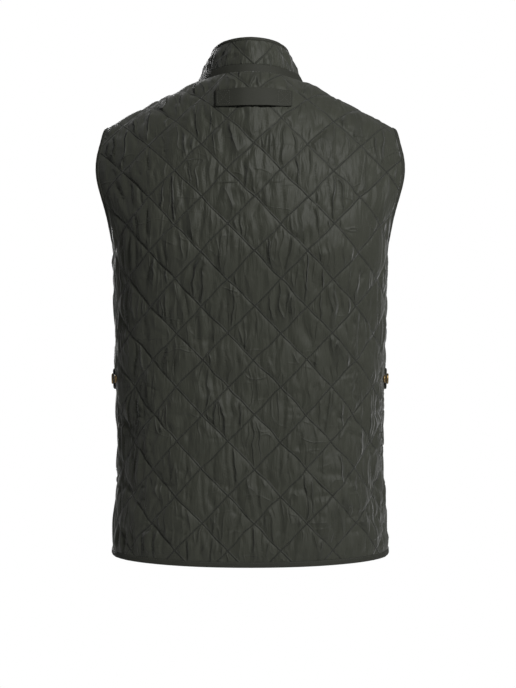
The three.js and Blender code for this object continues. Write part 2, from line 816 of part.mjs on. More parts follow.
const leftEdge = frontEdge();
const frontOutline = [
  [0.5, 0],
  [FRONT_BINDING, 0],
  [FRONT_BINDING, WALL + BINDING_SKIN],
  [0.5, WALL + BINDING_SKIN],
  [0, WALL],
  [0, 0.8],
];
const stripOutline = (piece) => [
  [piece.inner - FRONT_EDGE, piece.back],
  [piece.outer - FRONT_EDGE, piece.back],
  [piece.outer - FRONT_EDGE, piece.front],
  [piece.inner - FRONT_EDGE, piece.front],
];
for (const [name, places] of [['left', leftEdge], ['right', mirrorPlaces(leftEdge)]]) {
  add(`front_binding_${name}`, ribbon(places, frontOutline, false), 'binding');
  add(`zip_tape_${name}`, ribbon(places, stripOutline(TAPE), false), 'tape');
  add(`zip_teeth_${name}`, ribbon(places, stripOutline(TEETH), false), 'teeth');
}

// A flat strip's section: half its height, and its thickness over its seat.
function flatOutline(half, thick) {
  return [
    [-half, GAP],
    [half, GAP],
    [half, GAP + thick],
    [-half, GAP + thick],
  ];
}

// How far the faces that carry a piece stand above a place, across its whole footprint.
const REACH = 60;
const SEAT_SAMPLES = 4;
const SEAT_TURNS = 6;
const probe = new THREE.Raycaster();
function seatHeight(carriers, place, half) {
  let height = 0;
  for (let k = -SEAT_SAMPLES; k <= SEAT_SAMPLES; k += 1) {
    const from = place.at.clone().addScaledVector(place.across, (half * k) / SEAT_SAMPLES);
    from.addScaledVector(place.out, REACH);
    probe.set(from, place.out.clone().negate());
    const hits = probe.intersectObjects(carriers);
    if (hits.length > 0) height = Math.max(height, REACH - hits[0].distance);
  }
  return height;
}

// Lays a row of places on the faces that carry it, each as high as its neighbours need.
function seated(carriers, places, half) {
  const heights = places.map((place) => seatHeight(carriers, place, half));
  return places.map((place, k) => ({
    ...place,
    lift: Math.max(heights[Math.max(k - 1, 0)], heights[k], heights[Math.min(k + 1, heights.length - 1)]),
  }));
}

// Hanging strip: sewn down at both ends, standing a little off the back between them.
function stripPlaces(carriers) {
  const places = [];
  for (let k = 0; k <= STRIP.steps; k += 1) {
    const s = STRIP.s + ((2 * k) / STRIP.steps - 1) * STRIP.half;
    const frame = clothFrame('back', s, heightOn('back', s, STRIP.top - STRIP.tall / 2));
    places.push({ at: frame.at, across: frame.up, out: frame.out });
  }
  const laid = seated(carriers, places, STRIP.tall / 2);
  const ends = [laid[0].lift, laid[STRIP.steps].lift];
  return laid.map((place, k) => {
    const share = k / STRIP.steps;
    const bow = 4 * STRIP.bow * share * (1 - share);
    const straight = THREE.MathUtils.lerp(ends[0], ends[1], share);
    return { ...place, lift: Math.max(place.lift, straight + bow) };
  });
}
const strip = ribbon(stripPlaces([back]), flatOutline(STRIP.tall / 2, STRIP.thick), false);
add('hanging_strip', strip, 'binding');

// Waist tab on the left: from the front, round the side seam, to its rounded end.
const TAB_T = TAB.z - HEM_Z;
function tabPlaces() {
  const place = (side, s, narrow = 1) => {
    const frame = clothFrame(side, s, TAB_T);
    return { at: frame.at, across: frame.up, out: frame.out, narrow };
  };
  const front = [];
  for (let k = 0; k <= TAB.steps; k += 1) {
    front.push(place('front', HALF_PANEL - TAB.front * (1 - k / TAB.steps)));
  }
  const back = [place('back', HALF_PANEL)];
  for (let k = 0; k <= TAB.steps; k += 1) {
    const angle = (k / TAB.steps) * TAB.turn;
    const s = HALF_PANEL - TAB.back + TAB.half * (1 - Math.sin(angle));
    back.push(place('back', Math.min(s, HALF_PANEL - 1), Math.cos(angle)));
  }
  return joined(front, back);
}

// Turns a piece's own axes to a place's: x along the cloth, y out of it, z up it.
function placed(group, frame, height) {
  const across = new THREE.Vector3().crossVectors(frame.out, frame.up).normalize();
  const up = new THREE.Vector3().crossVectors(across, frame.out);
  group.quaternion.setFromRotationMatrix(new THREE.Matrix4().makeBasis(across, frame.out, up));
  group.position.copy(frame.at).addScaledVector(frame.out, height);
  vest.add(group);
  return group;
}

function studGeometry(size) {
  const profile = [
    new THREE.Vector2(0, 0),
    new THREE.Vector2(size.radius, 0),
    new THREE.Vector2(size.radius, size.height - size.rim),
    new THREE.Vector2(size.radius - size.rim, size.height),
    new THREE.Vector2(0, size.height + size.rim / 3),
  ];
  return new THREE.LatheGeometry(profile, STUD_SIDES);
}

// A stud on the face that carries it, on one side of the back.
function addStud(name, size, carrier, s) {
  const frame = clothFrame('back', s, TAB_T);
  const heights = [];
  for (let k = 0; k < SEAT_TURNS; k += 1) {
    const across = frame.across.clone().applyAxisAngle(frame.out, (k * Math.PI) / SEAT_TURNS);
    heights.push(seatHeight([carrier], { at: frame.at, across, out: frame.out }, size.radius));
  }
  const group = placed(new THREE.Group(), frame, Math.max(...heights) + GAP);
  add(name, studGeometry(size), 'brass', group);
}

const tabLeft = tabPlaces();
const tabSides = [
  { name: 'left', sign: 1, places: tabLeft, front: frontLeft },
  { name: 'right', sign: -1, places: mirrorPlaces(tabLeft), front: frontRight },
];
for (const { name, sign, places, front } of tabSides) {
  const laid = seated([back, front], places, TAB.half);
  const narrowed = laid.map((place, k) => ({ ...place, narrow: tabLeft[k].narrow ?? 1 }));
  const tab = add(`side_tab_${name}`, ribbon(narrowed, flatOutline(TAB.half, TAB.thick), false), 'binding');
  addStud(`tab_stud_${name}`, STUD, tab, sign * (HALF_PANEL - TAB.cap));
  addStud(`spare_stud_${name}`, SPARE_STUD, back, sign * (HALF_PANEL - TAB.spare));
}

// Zip slider, its pull and the bottom stop, in the slider's own axes: x to the vest's own
// right, y out of the front, z up the zip.
function block(low, high) {
  const size = new THREE.Vector3().subVectors(high, low);
  const middle = new THREE.Vector3().addVectors(low, high).multiplyScalar(0.5);
  const box = new THREE.BoxGeometry(size.x, size.y, size.z);
  return box.translate(middle.x, middle.y, middle.z);
}

function slab(half, back, front, low, high) {
  return block(new THREE.Vector3(-half, back, low), new THREE.Vector3(half, front, high));
}

function holeOf(left, right, low, high) {
  return new THREE.Path([
    new THREE.Vector2(left, low),
    new THREE.Vector2(left, high),
    new THREE.Vector2(right, high),
    new THREE.Vector2(right, low),
  ]);
}

// The bridge over the slider that carries the pull, drawn side on and given its width.
function bridge() {
  const foot = SLIDER.face - SLIDER.thick / 2;
  const shape = new THREE.Shape([
    new THREE.Vector2(-ARCH.tall, foot),
    new THREE.Vector2(ARCH.tall, foot),
    new THREE.Vector2(ARCH.tall - 0.6, SLIDER.face + ARCH.out),
    new THREE.Vector2(0.6 - ARCH.tall, SLIDER.face + ARCH.out),
  ]);
  shape.holes.push(holeOf(-ARCH.inner, ARCH.inner, SLIDER.face, SLIDER.face + ARCH.hole));
  const arch = new THREE.ExtrudeGeometry(shape, { depth: 2 * ARCH.half, bevelEnabled: false });
  arch.translate(0, 0, -ARCH.half);
  return arch.rotateY(Math.PI / 2);
}

function sliderGeometry() {
  const end = SLIDER.tall / 2;
  const pieces = [
    slab(SLIDER.half, SLIDER.face - SLIDER.thick, SLIDER.face, -end, end),
    slab(SLIDER.half, SLIDER.rear, SLIDER.rear + SLIDER.thick, -end, end),
    slab(POST.half, SLIDER.rear + SLIDER.thick / 2, SLIDER.face - SLIDER.thick / 2, POST.low, end - 0.5),
    bridge(),
  ];
  const body = pieces.map(solidOf).reduce((sum, piece) => sum.add(piece)).getMesh();
  return geometryOf(Array.from(body.vertProperties), body.triVerts);
}

// The pull: a plate whose top bar passes under the bridge; its own origin is the bar.
function pullGeometry() {
  const shape = new THREE.Shape();
  shape.moveTo(-PULL.half, PULL.bar);
  shape.lineTo(-PULL.half + 0.8, -PULL.long * 0.6);
  shape.lineTo(-PULL.half, 1.5 - PULL.long);
  shape.lineTo(1.5 - PULL.half, -PULL.long);
  shape.lineTo(PULL.half - 1.5, -PULL.long);
  shape.lineTo(PULL.half, 1.5 - PULL.long);
  shape.lineTo(PULL.half - 0.8, -PULL.long * 0.6);
  shape.lineTo(PULL.half, PULL.bar);
  shape.holes.push(holeOf(-PULL.slot, PULL.slot, -PULL.slotLong, -PULL.bar));
  const plate = new THREE.ExtrudeGeometry(shape, { depth: PULL.thick, bevelEnabled: false });
  return plate.translate(0, 0, -PULL.thick / 2).rotateX(Math.PI / 2);
}

const sliderT = heightOn('front', 0, SLIDER_Z) + SLIDER.tall / 2 - SLIDER.below;
const slider = placed(new THREE.Group(), clothFrame('front', 0, sliderT), 0);
add('zip_slider', sliderGeometry(), 'brass', slider);
const pull = new THREE.Group();
pull.position.set(0, SLIDER.face + PULL.lift, 0);
slider.add(pull);
add('pull_tab', pullGeometry(), 'brass', pull);
const stopT = hemLine(0) + HEM_BINDING - STOP.tall / 2;
const stop = placed(new THREE.Group(), clothFrame('front', 0, stopT), 0);
add('zip_stop', slab(STOP.half, STOP.back, STOP.front, -STOP.tall / 2, STOP.tall / 2), 'brass', stop);

export default vest;
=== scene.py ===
"""Looks of a worn, diamond-quilted vest with a stand collar and a front zip.

Sizes are in millimetres in the pattern of each piece: s runs across the cloth from the
centre line, t up from the lowest point of the hem, h out of the cloth. A piece is made
flat, draped over the worn form and only then turned into metres.
"""
import logging
import math
from dataclasses import dataclass, field
from enum import Enum
from typing import Callable, Optional, Sequence

import bmesh
import bpy
import numpy as np
from mathutils import Matrix, Vector, noise
from mathutils.bvhtree import BVHTree


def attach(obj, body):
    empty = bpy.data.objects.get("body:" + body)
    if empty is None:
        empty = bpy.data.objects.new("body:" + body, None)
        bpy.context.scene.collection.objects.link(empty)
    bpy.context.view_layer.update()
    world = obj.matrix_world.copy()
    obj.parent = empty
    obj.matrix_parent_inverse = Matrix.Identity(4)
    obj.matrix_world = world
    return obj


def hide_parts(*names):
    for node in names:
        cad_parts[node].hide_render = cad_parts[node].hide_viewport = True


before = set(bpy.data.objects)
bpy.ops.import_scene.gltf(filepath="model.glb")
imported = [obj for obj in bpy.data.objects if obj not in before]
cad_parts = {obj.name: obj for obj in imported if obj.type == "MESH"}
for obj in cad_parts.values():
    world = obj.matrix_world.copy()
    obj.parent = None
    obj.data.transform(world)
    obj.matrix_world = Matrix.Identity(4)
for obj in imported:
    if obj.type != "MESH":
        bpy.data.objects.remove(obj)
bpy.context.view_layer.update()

LOG = logging.getLogger("vest")
MM = 0.001
Array = np.ndarray
Rows = Sequence[Sequence[float]]


class Side(Enum):
    """The two halves of the body; the value is the way in which they face."""

    BACK = 1
    FRONT = -1


class Half(Enum):
    """The vest's own left and right; the value is the sign of x."""

    LEFT = 1
    RIGHT = -1

    @property
    def word(self) -> str:
        """The word that ends a piece's name."""
        return self.name.lower()


# Numbers and curves.


def smoothstep(value: Array, low: float, high: float) -> Array:
    """A soft step from 0 at low to 1 at high."""
    share = np.clip((np.asarray(value, float) - low) / (high - low), 0, 1)
    return share * share * (3 - 2 * share)


def read_rows(rows: Rows, value: Array) -> Array:
    """Reads a table smoothly between its rows.

    Args:
        rows: the table; its first column is the key, in rising order.
        value: keys to read at.

    Returns:
        One row of the remaining columns for each key.
    """
    table = np.array(rows, float)
    key, body = table[:, 0], table[:, 1:]
    after = np.minimum(np.arange(len(key)) + 1, len(key) - 1)
    before = np.maximum(np.arange(len(key)) - 1, 0)
    slope = (body[after] - body[before]) / (key[after] - key[before])[:, None]
    at = np.clip(np.atleast_1d(value), key[0], key[-1])
    i = np.clip(np.searchsorted(key, at) - 1, 0, len(key) - 2)
    span = (key[i + 1] - key[i])[:, None]
    u = (at - key[i])[:, None] / span
    rise = body[i + 1] - body[i]
    bend_a = u * (1 - u) ** 2 * (slope[i] * span - rise)
    bend_b = u * u * (1 - u) * (rise - slope[i + 1] * span)
    return body[i] + u * rise + bend_a + bend_b


def cubic_weights(u: Array) -> list[Array]:
    """Weights of the four neighbours of a place u between the middle two.

    Args:
        u: the place, 0 at the second neighbour and 1 at the third.

    Returns:
        The weights, in the neighbours' order.
    """
    return [
        0.5 * (-u + 2 * u ** 2 - u ** 3),
        0.5 * (2 - 5 * u ** 2 + 3 * u ** 3),
        0.5 * (u + 4 * u ** 2 - 3 * u ** 3),
        0.5 * (-u ** 2 + u ** 3),
    ]


def spline(points: Rows, steps: int) -> Array:
    """A smooth row of places through the given points.

    Args:
        points: the points to pass through.
        steps: how many stretches the row has.

    Returns:
        steps + 1 places.
    """
    table = np.array(points, float)
    last = len(table) - 1
    along = np.linspace(0, last, steps + 1)
    i = np.minimum(along.astype(int), last - 1)
    weights = cubic_weights(along - i)
    near = [np.clip(i + k - 1, 0, last) for k in range(4)]
    return sum(w[:, None] * table[n] for w, n in zip(weights, near))


def lengths(points: Array) -> Array:
    """The length of a row of points up to each of them."""
    steps = np.linalg.norm(np.diff(points, axis=0), axis=1)
    return np.concatenate([[0.0], np.cumsum(steps)])


def unit(vectors: Array) -> Array:
    """Vectors of length one."""
    return vectors / np.maximum(np.linalg.norm(vectors, axis=-1, keepdims=True), 1e-9)


def wobble(s: Array, t: Array, wide: float, tall: float, seed: float | Array) -> Array:
    """Smooth unevenness between -1 and 1, its grain wide across and tall up the cloth."""
    places = np.stack(np.broadcast_arrays(s / wide, t / tall, seed), -1)
    return np.array([noise.noise(Vector(place)) for place in places])


# The worn form.


@dataclass(frozen=True)
class Crease:
    """A soft ridge, or a trough where rise is negative, laid on the cloth."""

    s: float
    t: float
    turn: float
    long: float
    wide: float
    rise: float

    def height(self, s: Array, t: Array) -> Array:
        """How far it lifts each point of the cloth.

        Args:
            s: pattern points across the cloth.
            t: pattern points up the cloth.

        Returns:
            One height for each point.
        """
        turn = math.radians(self.turn)
        ds, dt = s - self.s, t - self.t
        along = (ds * math.sin(turn) + dt * math.cos(turn)) / self.long
        aside = (ds * math.cos(turn) - dt * math.sin(turn)) / self.wide
        return self.rise * np.exp(-along ** 2 - aside ** 2)


@dataclass(frozen=True)
class Frames:
    """Places on a cloth with their directions: across it, up it and out of it."""

    at: Array
    across: Array
    up: Array
    out: Array

    def turned(self) -> "Frames":
        """The same places, with up and across changed over, for a strip that runs across."""
        return Frames(self.at, self.up, self.across, self.out)

    def mirrored(self) -> "Frames":
        """The same places on the other half of the vest."""
        flip = np.array([-1.0, 1.0, 1.0])
        return Frames(self.at * flip, self.across * flip, self.up * flip, self.out * flip)

    def part(self, which: slice) -> "Frames":
        """Some of the places."""
        return Frames(self.at[which], self.across[which], self.up[which], self.out[which])

    def joined(self, other: "Frames") -> "Frames":
        """This row of places followed by another; they share the place where they meet.

        Args:
            other: the row that follows.

        Returns:
            The whole row.
        """
        def both(a: Array, b: Array) -> Array:
            """One table after the other."""
            return np.concatenate([a[:-1], [(a[-1] + b[0]) / 2], b[1:]])
        return Frames(
            both(self.at, other.at),
            unit(both(self.across, other.across)),
            unit(both(self.up, other.up)),
            unit(both(self.out, other.out)),
        )


class Surface:
    """Where the points of a flat pattern come to lie when the piece is worn."""

    # How far past its first and last columns it may be read, in columns.
    past: float = 0.15

    def __init__(self, across: Array, up: Array, points: Array, facing: int,
                 rise: Callable[[Array, Array], Array]) -> None:
        """Keeps a table of places and works out the outward directions.

        Args:
            across: evenly spaced pattern distances across, one for each column.
            up: evenly spaced pattern distances up, one for each row.
            points: the place of each row and column.
            facing: 1 where up x across points outwards, else -1.
            rise: height of the creases at pattern points.
        """
        self.origin = (across[0], up[0])
        self.step = (across[1] - across[0], up[1] - up[0])
        self.rise = rise
        easts = unit(np.gradient(points, axis=1))
        norths = unit(np.gradient(points, axis=0))
        outs = unit(np.cross(norths, easts)) * facing
        self.tables = [self._grown(x) for x in (points, easts, norths, outs)]

    @staticmethod
    def _grown(table: Array) -> Array:
        """A table with one more row and column on each side."""
        return np.pad(table, ((1, 1), (1, 1), (0, 0)), mode="reflect", reflect_type="odd")

    def _read(self, table: Array, s: Array, t: Array) -> Array:
        """Reads a table smoothly at pattern points.

        Args:
            table: one of the grown tables.
            s: pattern points across the cloth.
            t: pattern points up the cloth.

        Returns:
            One row of three for each point.
        """
        rows, columns = table.shape[0] - 2, table.shape[1] - 2
        past = self.past
        x = np.clip((s - self.origin[0]) / self.step[0], -past, columns - 1 + past)
        y = np.clip((t - self.origin[1]) / self.step[1], 0, rows - 1)
        i = np.minimum(x.astype(int), columns - 2)
        j = np.minimum(y.astype(int), rows - 2)
        sum_of = np.zeros((len(s), 3))
        for b, wb in enumerate(cubic_weights(y - j)):
            for a, wa in enumerate(cubic_weights(x - i)):
                sum_of += (wa * wb)[:, None] * table[j + b, i + a]
        return sum_of

    def frames(self, s: Array, t: Array) -> Frames:
        """The places and directions of pattern points, creases counted in.

        Args:
            s: pattern points across the cloth.
            t: pattern points up the cloth.

        Returns:
            One place and its directions for each point.
        """
        s, t = np.broadcast_arrays(np.asarray(s, float), np.asarray(t, float))
        at, across, up, out = (self._read(table, s, t) for table in self.tables)
        out = unit(out)
        at = at + out * self.rise(s, t)[:, None]
        return Frames(at, unit(across), unit(up), out)

    def place(self, s: Array, t: Array, h: Array) -> Array:
        """Places at height h over pattern points."""
        frames = self.frames(s, t)
        return frames.at + frames.out * np.asarray(h)[:, None]


@dataclass(frozen=True)
class Figure:
    """The general figure that holds the vest's form, as the solids have it."""

    hem_z: float = -682
    chest_z: float = -240
    half_panel: float = 262
    hem_rise: float = 14
    ridge_top: float = 49
    ridge_slope: float = 0.532
    ridge_soft: float = 40
    spread_z: float = -130
    neck_width: float = 75
    back_neck_lift: float = 34
    front_neck_lift: float = 8
    back_bend: float = 2.2
    front_bend: float = 1.8
    past_ridge: float = 1.12
    slider_z: float = -158
    throat_wide: float = 26
    throat_tall: float = 80
    throat_curve: float = 1.35
    throat_flat: float = 18
    throat_fade: float = 150
    throat_top: float = -8
    columns: int = 101
    rows: tuple = (-24, 790, 6)
    crease_fade: float = 40
    fine: int = 300
    # Height, half width, depth to the back, depth to the front, squareness.
    sections: Rows = (
        (-700, 198, 121, 126, 2.5), (-668, 196, 120, 126, 2.5), (-600, 191, 117, 125, 2.5),
        (-540, 187, 114, 124, 2.5), (-468, 188, 111, 125, 2.5), (-371, 190, 110, 127, 2.5),
        (-310, 192, 116, 129, 2.6), (-240, 194, 127, 129, 2.7),
    )

    @property
    def chest_t(self) -> float:
        """Pattern height of the chest line."""
        return self.chest_z - self.hem_z

    def ring(self, side: Side, across: Array, z: float) -> Array:
        """Places round the cross section at one height.

        Args:
            side: the back or the front.
            across: distances off the centre line.
            z: the height.

        Returns:
            One place for each distance.
        """
        wide, back, front, power = read_rows(self.sections, z)[0]
        depth = back if side is Side.BACK else front
        angle = np.linspace(0, math.pi / 2, self.fine)
        x = wide * np.sin(angle) ** (2 / power)
        y = side.value * depth * np.clip(np.cos(angle), 0, 1) ** (2 / power)
        along = lengths(np.stack([x, y], 1))
        share = np.abs(across) / self.half_panel
        at = np.abs(across) + (along[-1] - self.half_panel) * share ** 2
        return np.stack([np.interp(at, along, x), np.interp(at, along, y), np.full(len(at), z)], 1)

    def column(self, side: Side, across: float) -> tuple[Array, Array]:
        """The line of cloth from the chest over the shoulder, with its lengths.

        Args:
            side: the back or the front.
            across: distance off the centre line.

        Returns:
            The places, and the length up to each of them.
        """
        across = abs(across)
        low = self.ring(side, np.array([across]), self.chest_z)[0]
        inside = max(0.0, 1 - (across / self.neck_width) ** 2)
        is_back = side is Side.BACK
        lift = self.back_neck_lift if is_back else self.front_neck_lift
        high = self.ridge_top - self.ridge_slope * math.hypot(across, self.ridge_soft)
        high += lift * inside ** 2
        bend = self.back_bend if is_back else self.front_bend
        angle = np.linspace(0, self.past_ridge * math.pi / 2, self.fine)
        z = self.chest_z + (high - self.chest_z) * np.sin(angle) ** (2 / bend)
        cos = np.cos(angle)
        y = low[1] * np.sign(cos) * np.abs(cos) ** (2 / bend)
        spread = smoothstep(z, self.chest_z, self.spread_z)
        x = low[0] + (across - low[0]) * spread
        points = np.stack([x, y, z], 1)
        return points, lengths(points)

    def ridge_t(self, side: Side, s: float) -> float:
        """Pattern height of the shoulder seam.

        Args:
            side: the back or the front.
            s: distance off the centre line.

        Returns:
            The height up the pattern.
        """
        points, along = self.column(side, s)
        depth = points[:, 1] * side.value
        over = int(np.argmax(depth < 0))
        share = depth[over - 1] / (depth[over - 1] - depth[over])
        return self.chest_t + along[over - 1] + share * (along[over] - along[over - 1])

    def height_t(self, side: Side, s: float, z: float) -> float:
        """Pattern height at which the cloth reaches a height above the chest."""
        points, along = self.column(side, s)
        top = int(np.argmax(points[:, 2])) + 1
        return self.chest_t + float(np.interp(z, points[:top, 2], along[:top]))

    def throat(self, across: Array, z: Array) -> Array:
        """How far the open throat pushes the front edges apart."""
        share = np.clip((z - self.slider_z) / self.throat_tall, 0, 1)
        fall = 1 - smoothstep(across, self.throat_flat, self.throat_fade)
        close = 1 - smoothstep(z, self.slider_z + self.throat_tall, self.throat_top)
        return self.throat_wide * share ** self.throat_curve * fall * close

    def surface(self, side: Side, creases: Sequence[Crease]) -> Surface:
        """The back or the front as it is worn.

        Args:
            side: which of the two.
            creases: the creases that lie on it.

        Returns:
            The surface, over the whole of its pattern.
        """
        across = np.linspace(-self.half_panel, self.half_panel, self.columns)
        up = np.arange(*self.rows, dtype=float)
        points = np.zeros((len(up), len(across), 3))
        low = up <= self.chest_t
        for row in np.flatnonzero(low):
            points[row] = self.ring(side, across, self.hem_z + up[row])
        for k, s in enumerate(across):
            line, along = self.column(side, s)
            for axis in range(3):
                points[~low, k, axis] = np.interp(up[~low] - self.chest_t, along, line[:, axis])
        if side is Side.FRONT:
            points[..., 0] += self.throat(np.abs(across)[None, :], points[..., 2])
        points[..., 0] *= np.sign(across)[None, :]

        def rise(s: Array, t: Array) -> Array:
            """Height of the creases, which fade out at the side seams."""
            total = sum(crease.height(s, t) for crease in creases)
            return total * smoothstep(self.half_panel - np.abs(s), 0, self.crease_fade)
        return Surface(across, up, points, side.value, rise)

    def hem_t(self, s: Array) -> Array:
        """Pattern height of the finished hem."""
        return self.hem_rise * (np.asarray(s) / self.half_panel) ** 2


FIGURE = Figure()

# The broad folds are those of the solids; the smaller ones after them are drawn only here.
BACK_CREASES = (
    Crease(168, 330, -52, 92, 17, 4.2), Crease(-150, 300, 48, 84, 18, 4),
    Crease(196, 170, -16, 96, 20, -4.4), Crease(-186, 150, 20, 104, 22, -4.8),
    Crease(-118, 92, -30, 80, 20, 4.4), Crease(96, 78, 10, 70, 24, 3.4),
    Crease(20, 250, 74, 92, 17, -3.2), Crease(-30, 130, 4, 90, 26, -3),
    Crease(-142, 206, 76, 19, 4.5, -2.6), Crease(-212, 214, 98, 22, 5, -3),
    Crease(-156, 184, 70, 17, 4.5, -2.4), Crease(-118, 130, 84, 16, 5, -2.2),
    Crease(-146, 122, 66, 18, 5, -2.6), Crease(-214, 108, 60, 22, 5, -3),
    Crease(-104, 99, 96, 16, 4.5, -2.4), Crease(-210, 62, 64, 22, 5, -2.8),
    Crease(-154, 72, 104, 20, 5, -2.6), Crease(39, 116, 72, 18, 4.5, -2.2),
    Crease(-68, 110, 80, 16, 5, -2), Crease(198, 199, 74, 20, 5, -2.8),
    Crease(137, 186, 100, 20, 5, -2.6), Crease(128, 114, 86, 17, 4.5, -2.4),
    Crease(190, 110, 64, 20, 5, -2.8), Crease(-196, 160, 118, 18, 5, 2.4),
    Crease(176, 38, 6, 17, 4, -2), Crease(192, 34, -4, 18, 4, -2.4),
    Crease(208, 38, 8, 18, 4, -2.4), Crease(224, 34, -6, 17, 4, -2.2),
    Crease(240, 36, 4, 16, 4, -2), Crease(60, 318, 86, 20, 5, -1.8),
)
FRONT_CREASES = (
    Crease(172, 318, -50, 88, 17, 4.2), Crease(-160, 330, 46, 82, 18, 4),
    Crease(190, 160, -14, 96, 22, -4.4), Crease(-194, 176, 18, 92, 20, -4.2),
    Crease(98, 96, 22, 74, 20, 3.8), Crease(-92, 84, -18, 78, 22, 3.8),
    Crease(150, 196, 76, 20, 5, -2.6), Crease(206, 208, 98, 22, 5, -2.8),
    Crease(120, 128, 70, 18, 5, -2.4), Crease(196, 112, 62, 20, 5, -2.8),
    Crease(150, 70, 100, 18, 5, -2.4), Crease(-148, 204, 104, 20, 5, -2.6),
    Crease(-208, 190, 80, 22, 5, -2.8), Crease(-124, 120, 110, 18, 5, -2.4),
    Crease(-190, 104, 118, 20, 5, -2.6), Crease(-150, 64, 82, 18, 5, -2.4),
    Crease(-214, 58, 60, 18, 5, -2.2), Crease(64, 210, 84, 16, 5, -1.8),
    Crease(-70, 226, 98, 16, 5, -1.8),
)
BACK = FIGURE.surface(Side.BACK, BACK_CREASES)
FRONT = FIGURE.surface(Side.FRONT, FRONT_CREASES)


# The pattern.


@dataclass(frozen=True)
class Pattern:
    """Outlines of the cut pieces, as the solids have them."""

    gap: float = 0.3
    lap: float = 0.6
    hem_binding: float = 7
    arm_binding: float = 5
    front_binding: float = 5
    front_edge: float = 6.5
    tip: float = 203
    arm_foot: float = 4
    shoulder_steps: int = 14
    hem_steps: int = 60
    arm_steps: int = 60
    neck_steps: int = 30
    edge_steps: int = 60
    back_neck: Rows = ((60, 7.5), (40, 11.6), (18, 13.6), (0, 14))
    front_neck: Rows = ((71, -15), (60, -37), (43, -57), (26, -70), (12.25, -76))
    back_arm: Rows = (
        (209, -82), (214, -104), (215, -124), (212, -154),
        (213, -184), (220, -206), (232, -226), (247, -238),
    )
    front_arm: Rows = (
        (201, -84), (197, -108), (195, -136), (198, -166),
        (206, -192), (221, -215), (238, -233), (251, -240),
    )

    @property
    def front_cut(self) -> float:
        """Pattern distance of a front panel's cut edge."""
        return self.front_edge + self.front_binding + 2.5 * self.gap

    def curve(self, side: Side, ends: tuple, rows: Rows, steps: int) -> Array:
        """A curve through rows of (s, height) between two ends in the pattern."""
        middle = [(s, FIGURE.height_t(side, s, z)) for s, z in rows]
        points = [*ends[:1], *middle, *ends[1:]]
        return spline(points, steps)

    def neck(self, side: Side) -> Array:
        """Half a neckline, from the shoulder seam down to the middle."""
        start = (FIGURE.neck_width, FIGURE.ridge_t(side, FIGURE.neck_width) + self.lap)
        rows = self.back_neck if side is Side.BACK else self.front_neck
        return self.curve(side, (start,), rows, self.neck_steps)

    def arm(self, side: Side) -> Array:
        """An armhole, from the shoulder seam down to the side seam."""
        start = (self.tip, FIGURE.ridge_t(side, self.tip) + self.lap)
        end = (FIGURE.half_panel + self.lap, FIGURE.chest_t - self.arm_foot)
        rows = self.back_arm if side is Side.BACK else self.front_arm
        return self.curve(side, (start, end), rows, self.arm_steps)

    def hem(self, start: float) -> Array:
        """The cut hem from one distance off the centre line to the side seam."""
        s = np.linspace(start, FIGURE.half_panel + self.lap, self.hem_steps)
        return np.stack([s, FIGURE.hem_t(s) + self.hem_binding + self.gap], 1)

    def shoulder(self, side: Side) -> Array:
        """The shoulder seam from the neck to the tip, without its ends."""
        s = np.linspace(FIGURE.neck_width, self.tip, self.shoulder_steps)[1:-1]
        t = [FIGURE.ridge_t(side, x) + self.lap for x in s]
        return np.stack([s, t], 1)

    def edge_heights(self, lift: float = 0) -> Array:
        """Pattern heights up a front edge, from the hem to the neck."""
        low = self.hem_binding + self.gap + lift
        high = FIGURE.height_t(Side.FRONT, self.front_cut, self.front_neck[-1][1])
        return np.linspace(low, high, self.edge_steps)

    def back(self) -> Array:
        """Outline of the back.

        Returns:
            Its corners, once round.
        """
        half = np.concatenate([
            self.hem(0), self.arm(Side.BACK)[::-1], self.shoulder(Side.BACK)[::-1],
            self.neck(Side.BACK),
        ])
        return np.concatenate([half, self.flipped(half)[1:-1]])

    def front(self, half: Half) -> Array:
        """Outline of one front.

        Args:
            half: the vest's left or right.

        Returns:
            Its corners, once round.
        """
        heights = self.edge_heights()[1:-1][::-1]
        edge = np.stack([np.full(len(heights), self.front_cut), heights], 1)
        left = np.concatenate([
            self.hem(self.front_cut), self.arm(Side.FRONT)[::-1],
            self.shoulder(Side.FRONT)[::-1], self.neck(Side.FRONT), edge,
        ])
        return left if half is Half.LEFT else self.flipped(left)

    @staticmethod
    def flipped(points: Array) -> Array:
        """An outline on the other side of the centre line, in the same turning."""
        return (points * np.array([-1.0, 1.0]))[::-1]


PATTERN = Pattern()


def edge_distance(outline: Array, s: Array, t: Array) -> Array:
    """Distance from pattern points to an outline.

    Args:
        outline: the outline's corners.
        s: pattern points across the cloth.
        t: pattern points up the cloth.

    Returns:
        One distance for each point.
    """
    nearest = np.full(len(s), np.inf)
    for a, b in zip(outline, np.roll(outline, -1, axis=0)):
        way = b - a
        size = max(float(way @ way), 1e-9)
        u = np.clip(((s - a[0]) * way[0] + (t - a[1]) * way[1]) / size, 0, 1)
        gap = np.hypot(s - a[0] - u * way[0], t - a[1] - u * way[1])
        nearest = np.minimum(nearest, gap)
    return nearest


def inside_of(outline: Array, s: Array, t: Array) -> Array:
    """Which pattern points lie inside an outline.

    Args:
        outline: the outline's corners.
        s: pattern points across the cloth.
        t: pattern points up the cloth.

    Returns:
        True for each point inside.
    """
    inside = np.zeros(len(s), bool)
    for a, b in zip(outline, np.roll(outline, -1, axis=0)):
        if a[1] == b[1]:
            continue
        crosses = (a[1] > t) != (b[1] > t)
        inside ^= crosses & (s < a[0] + (t - a[1]) * (b[0] - a[0]) / (b[1] - a[1]))
    return inside


# The collar.

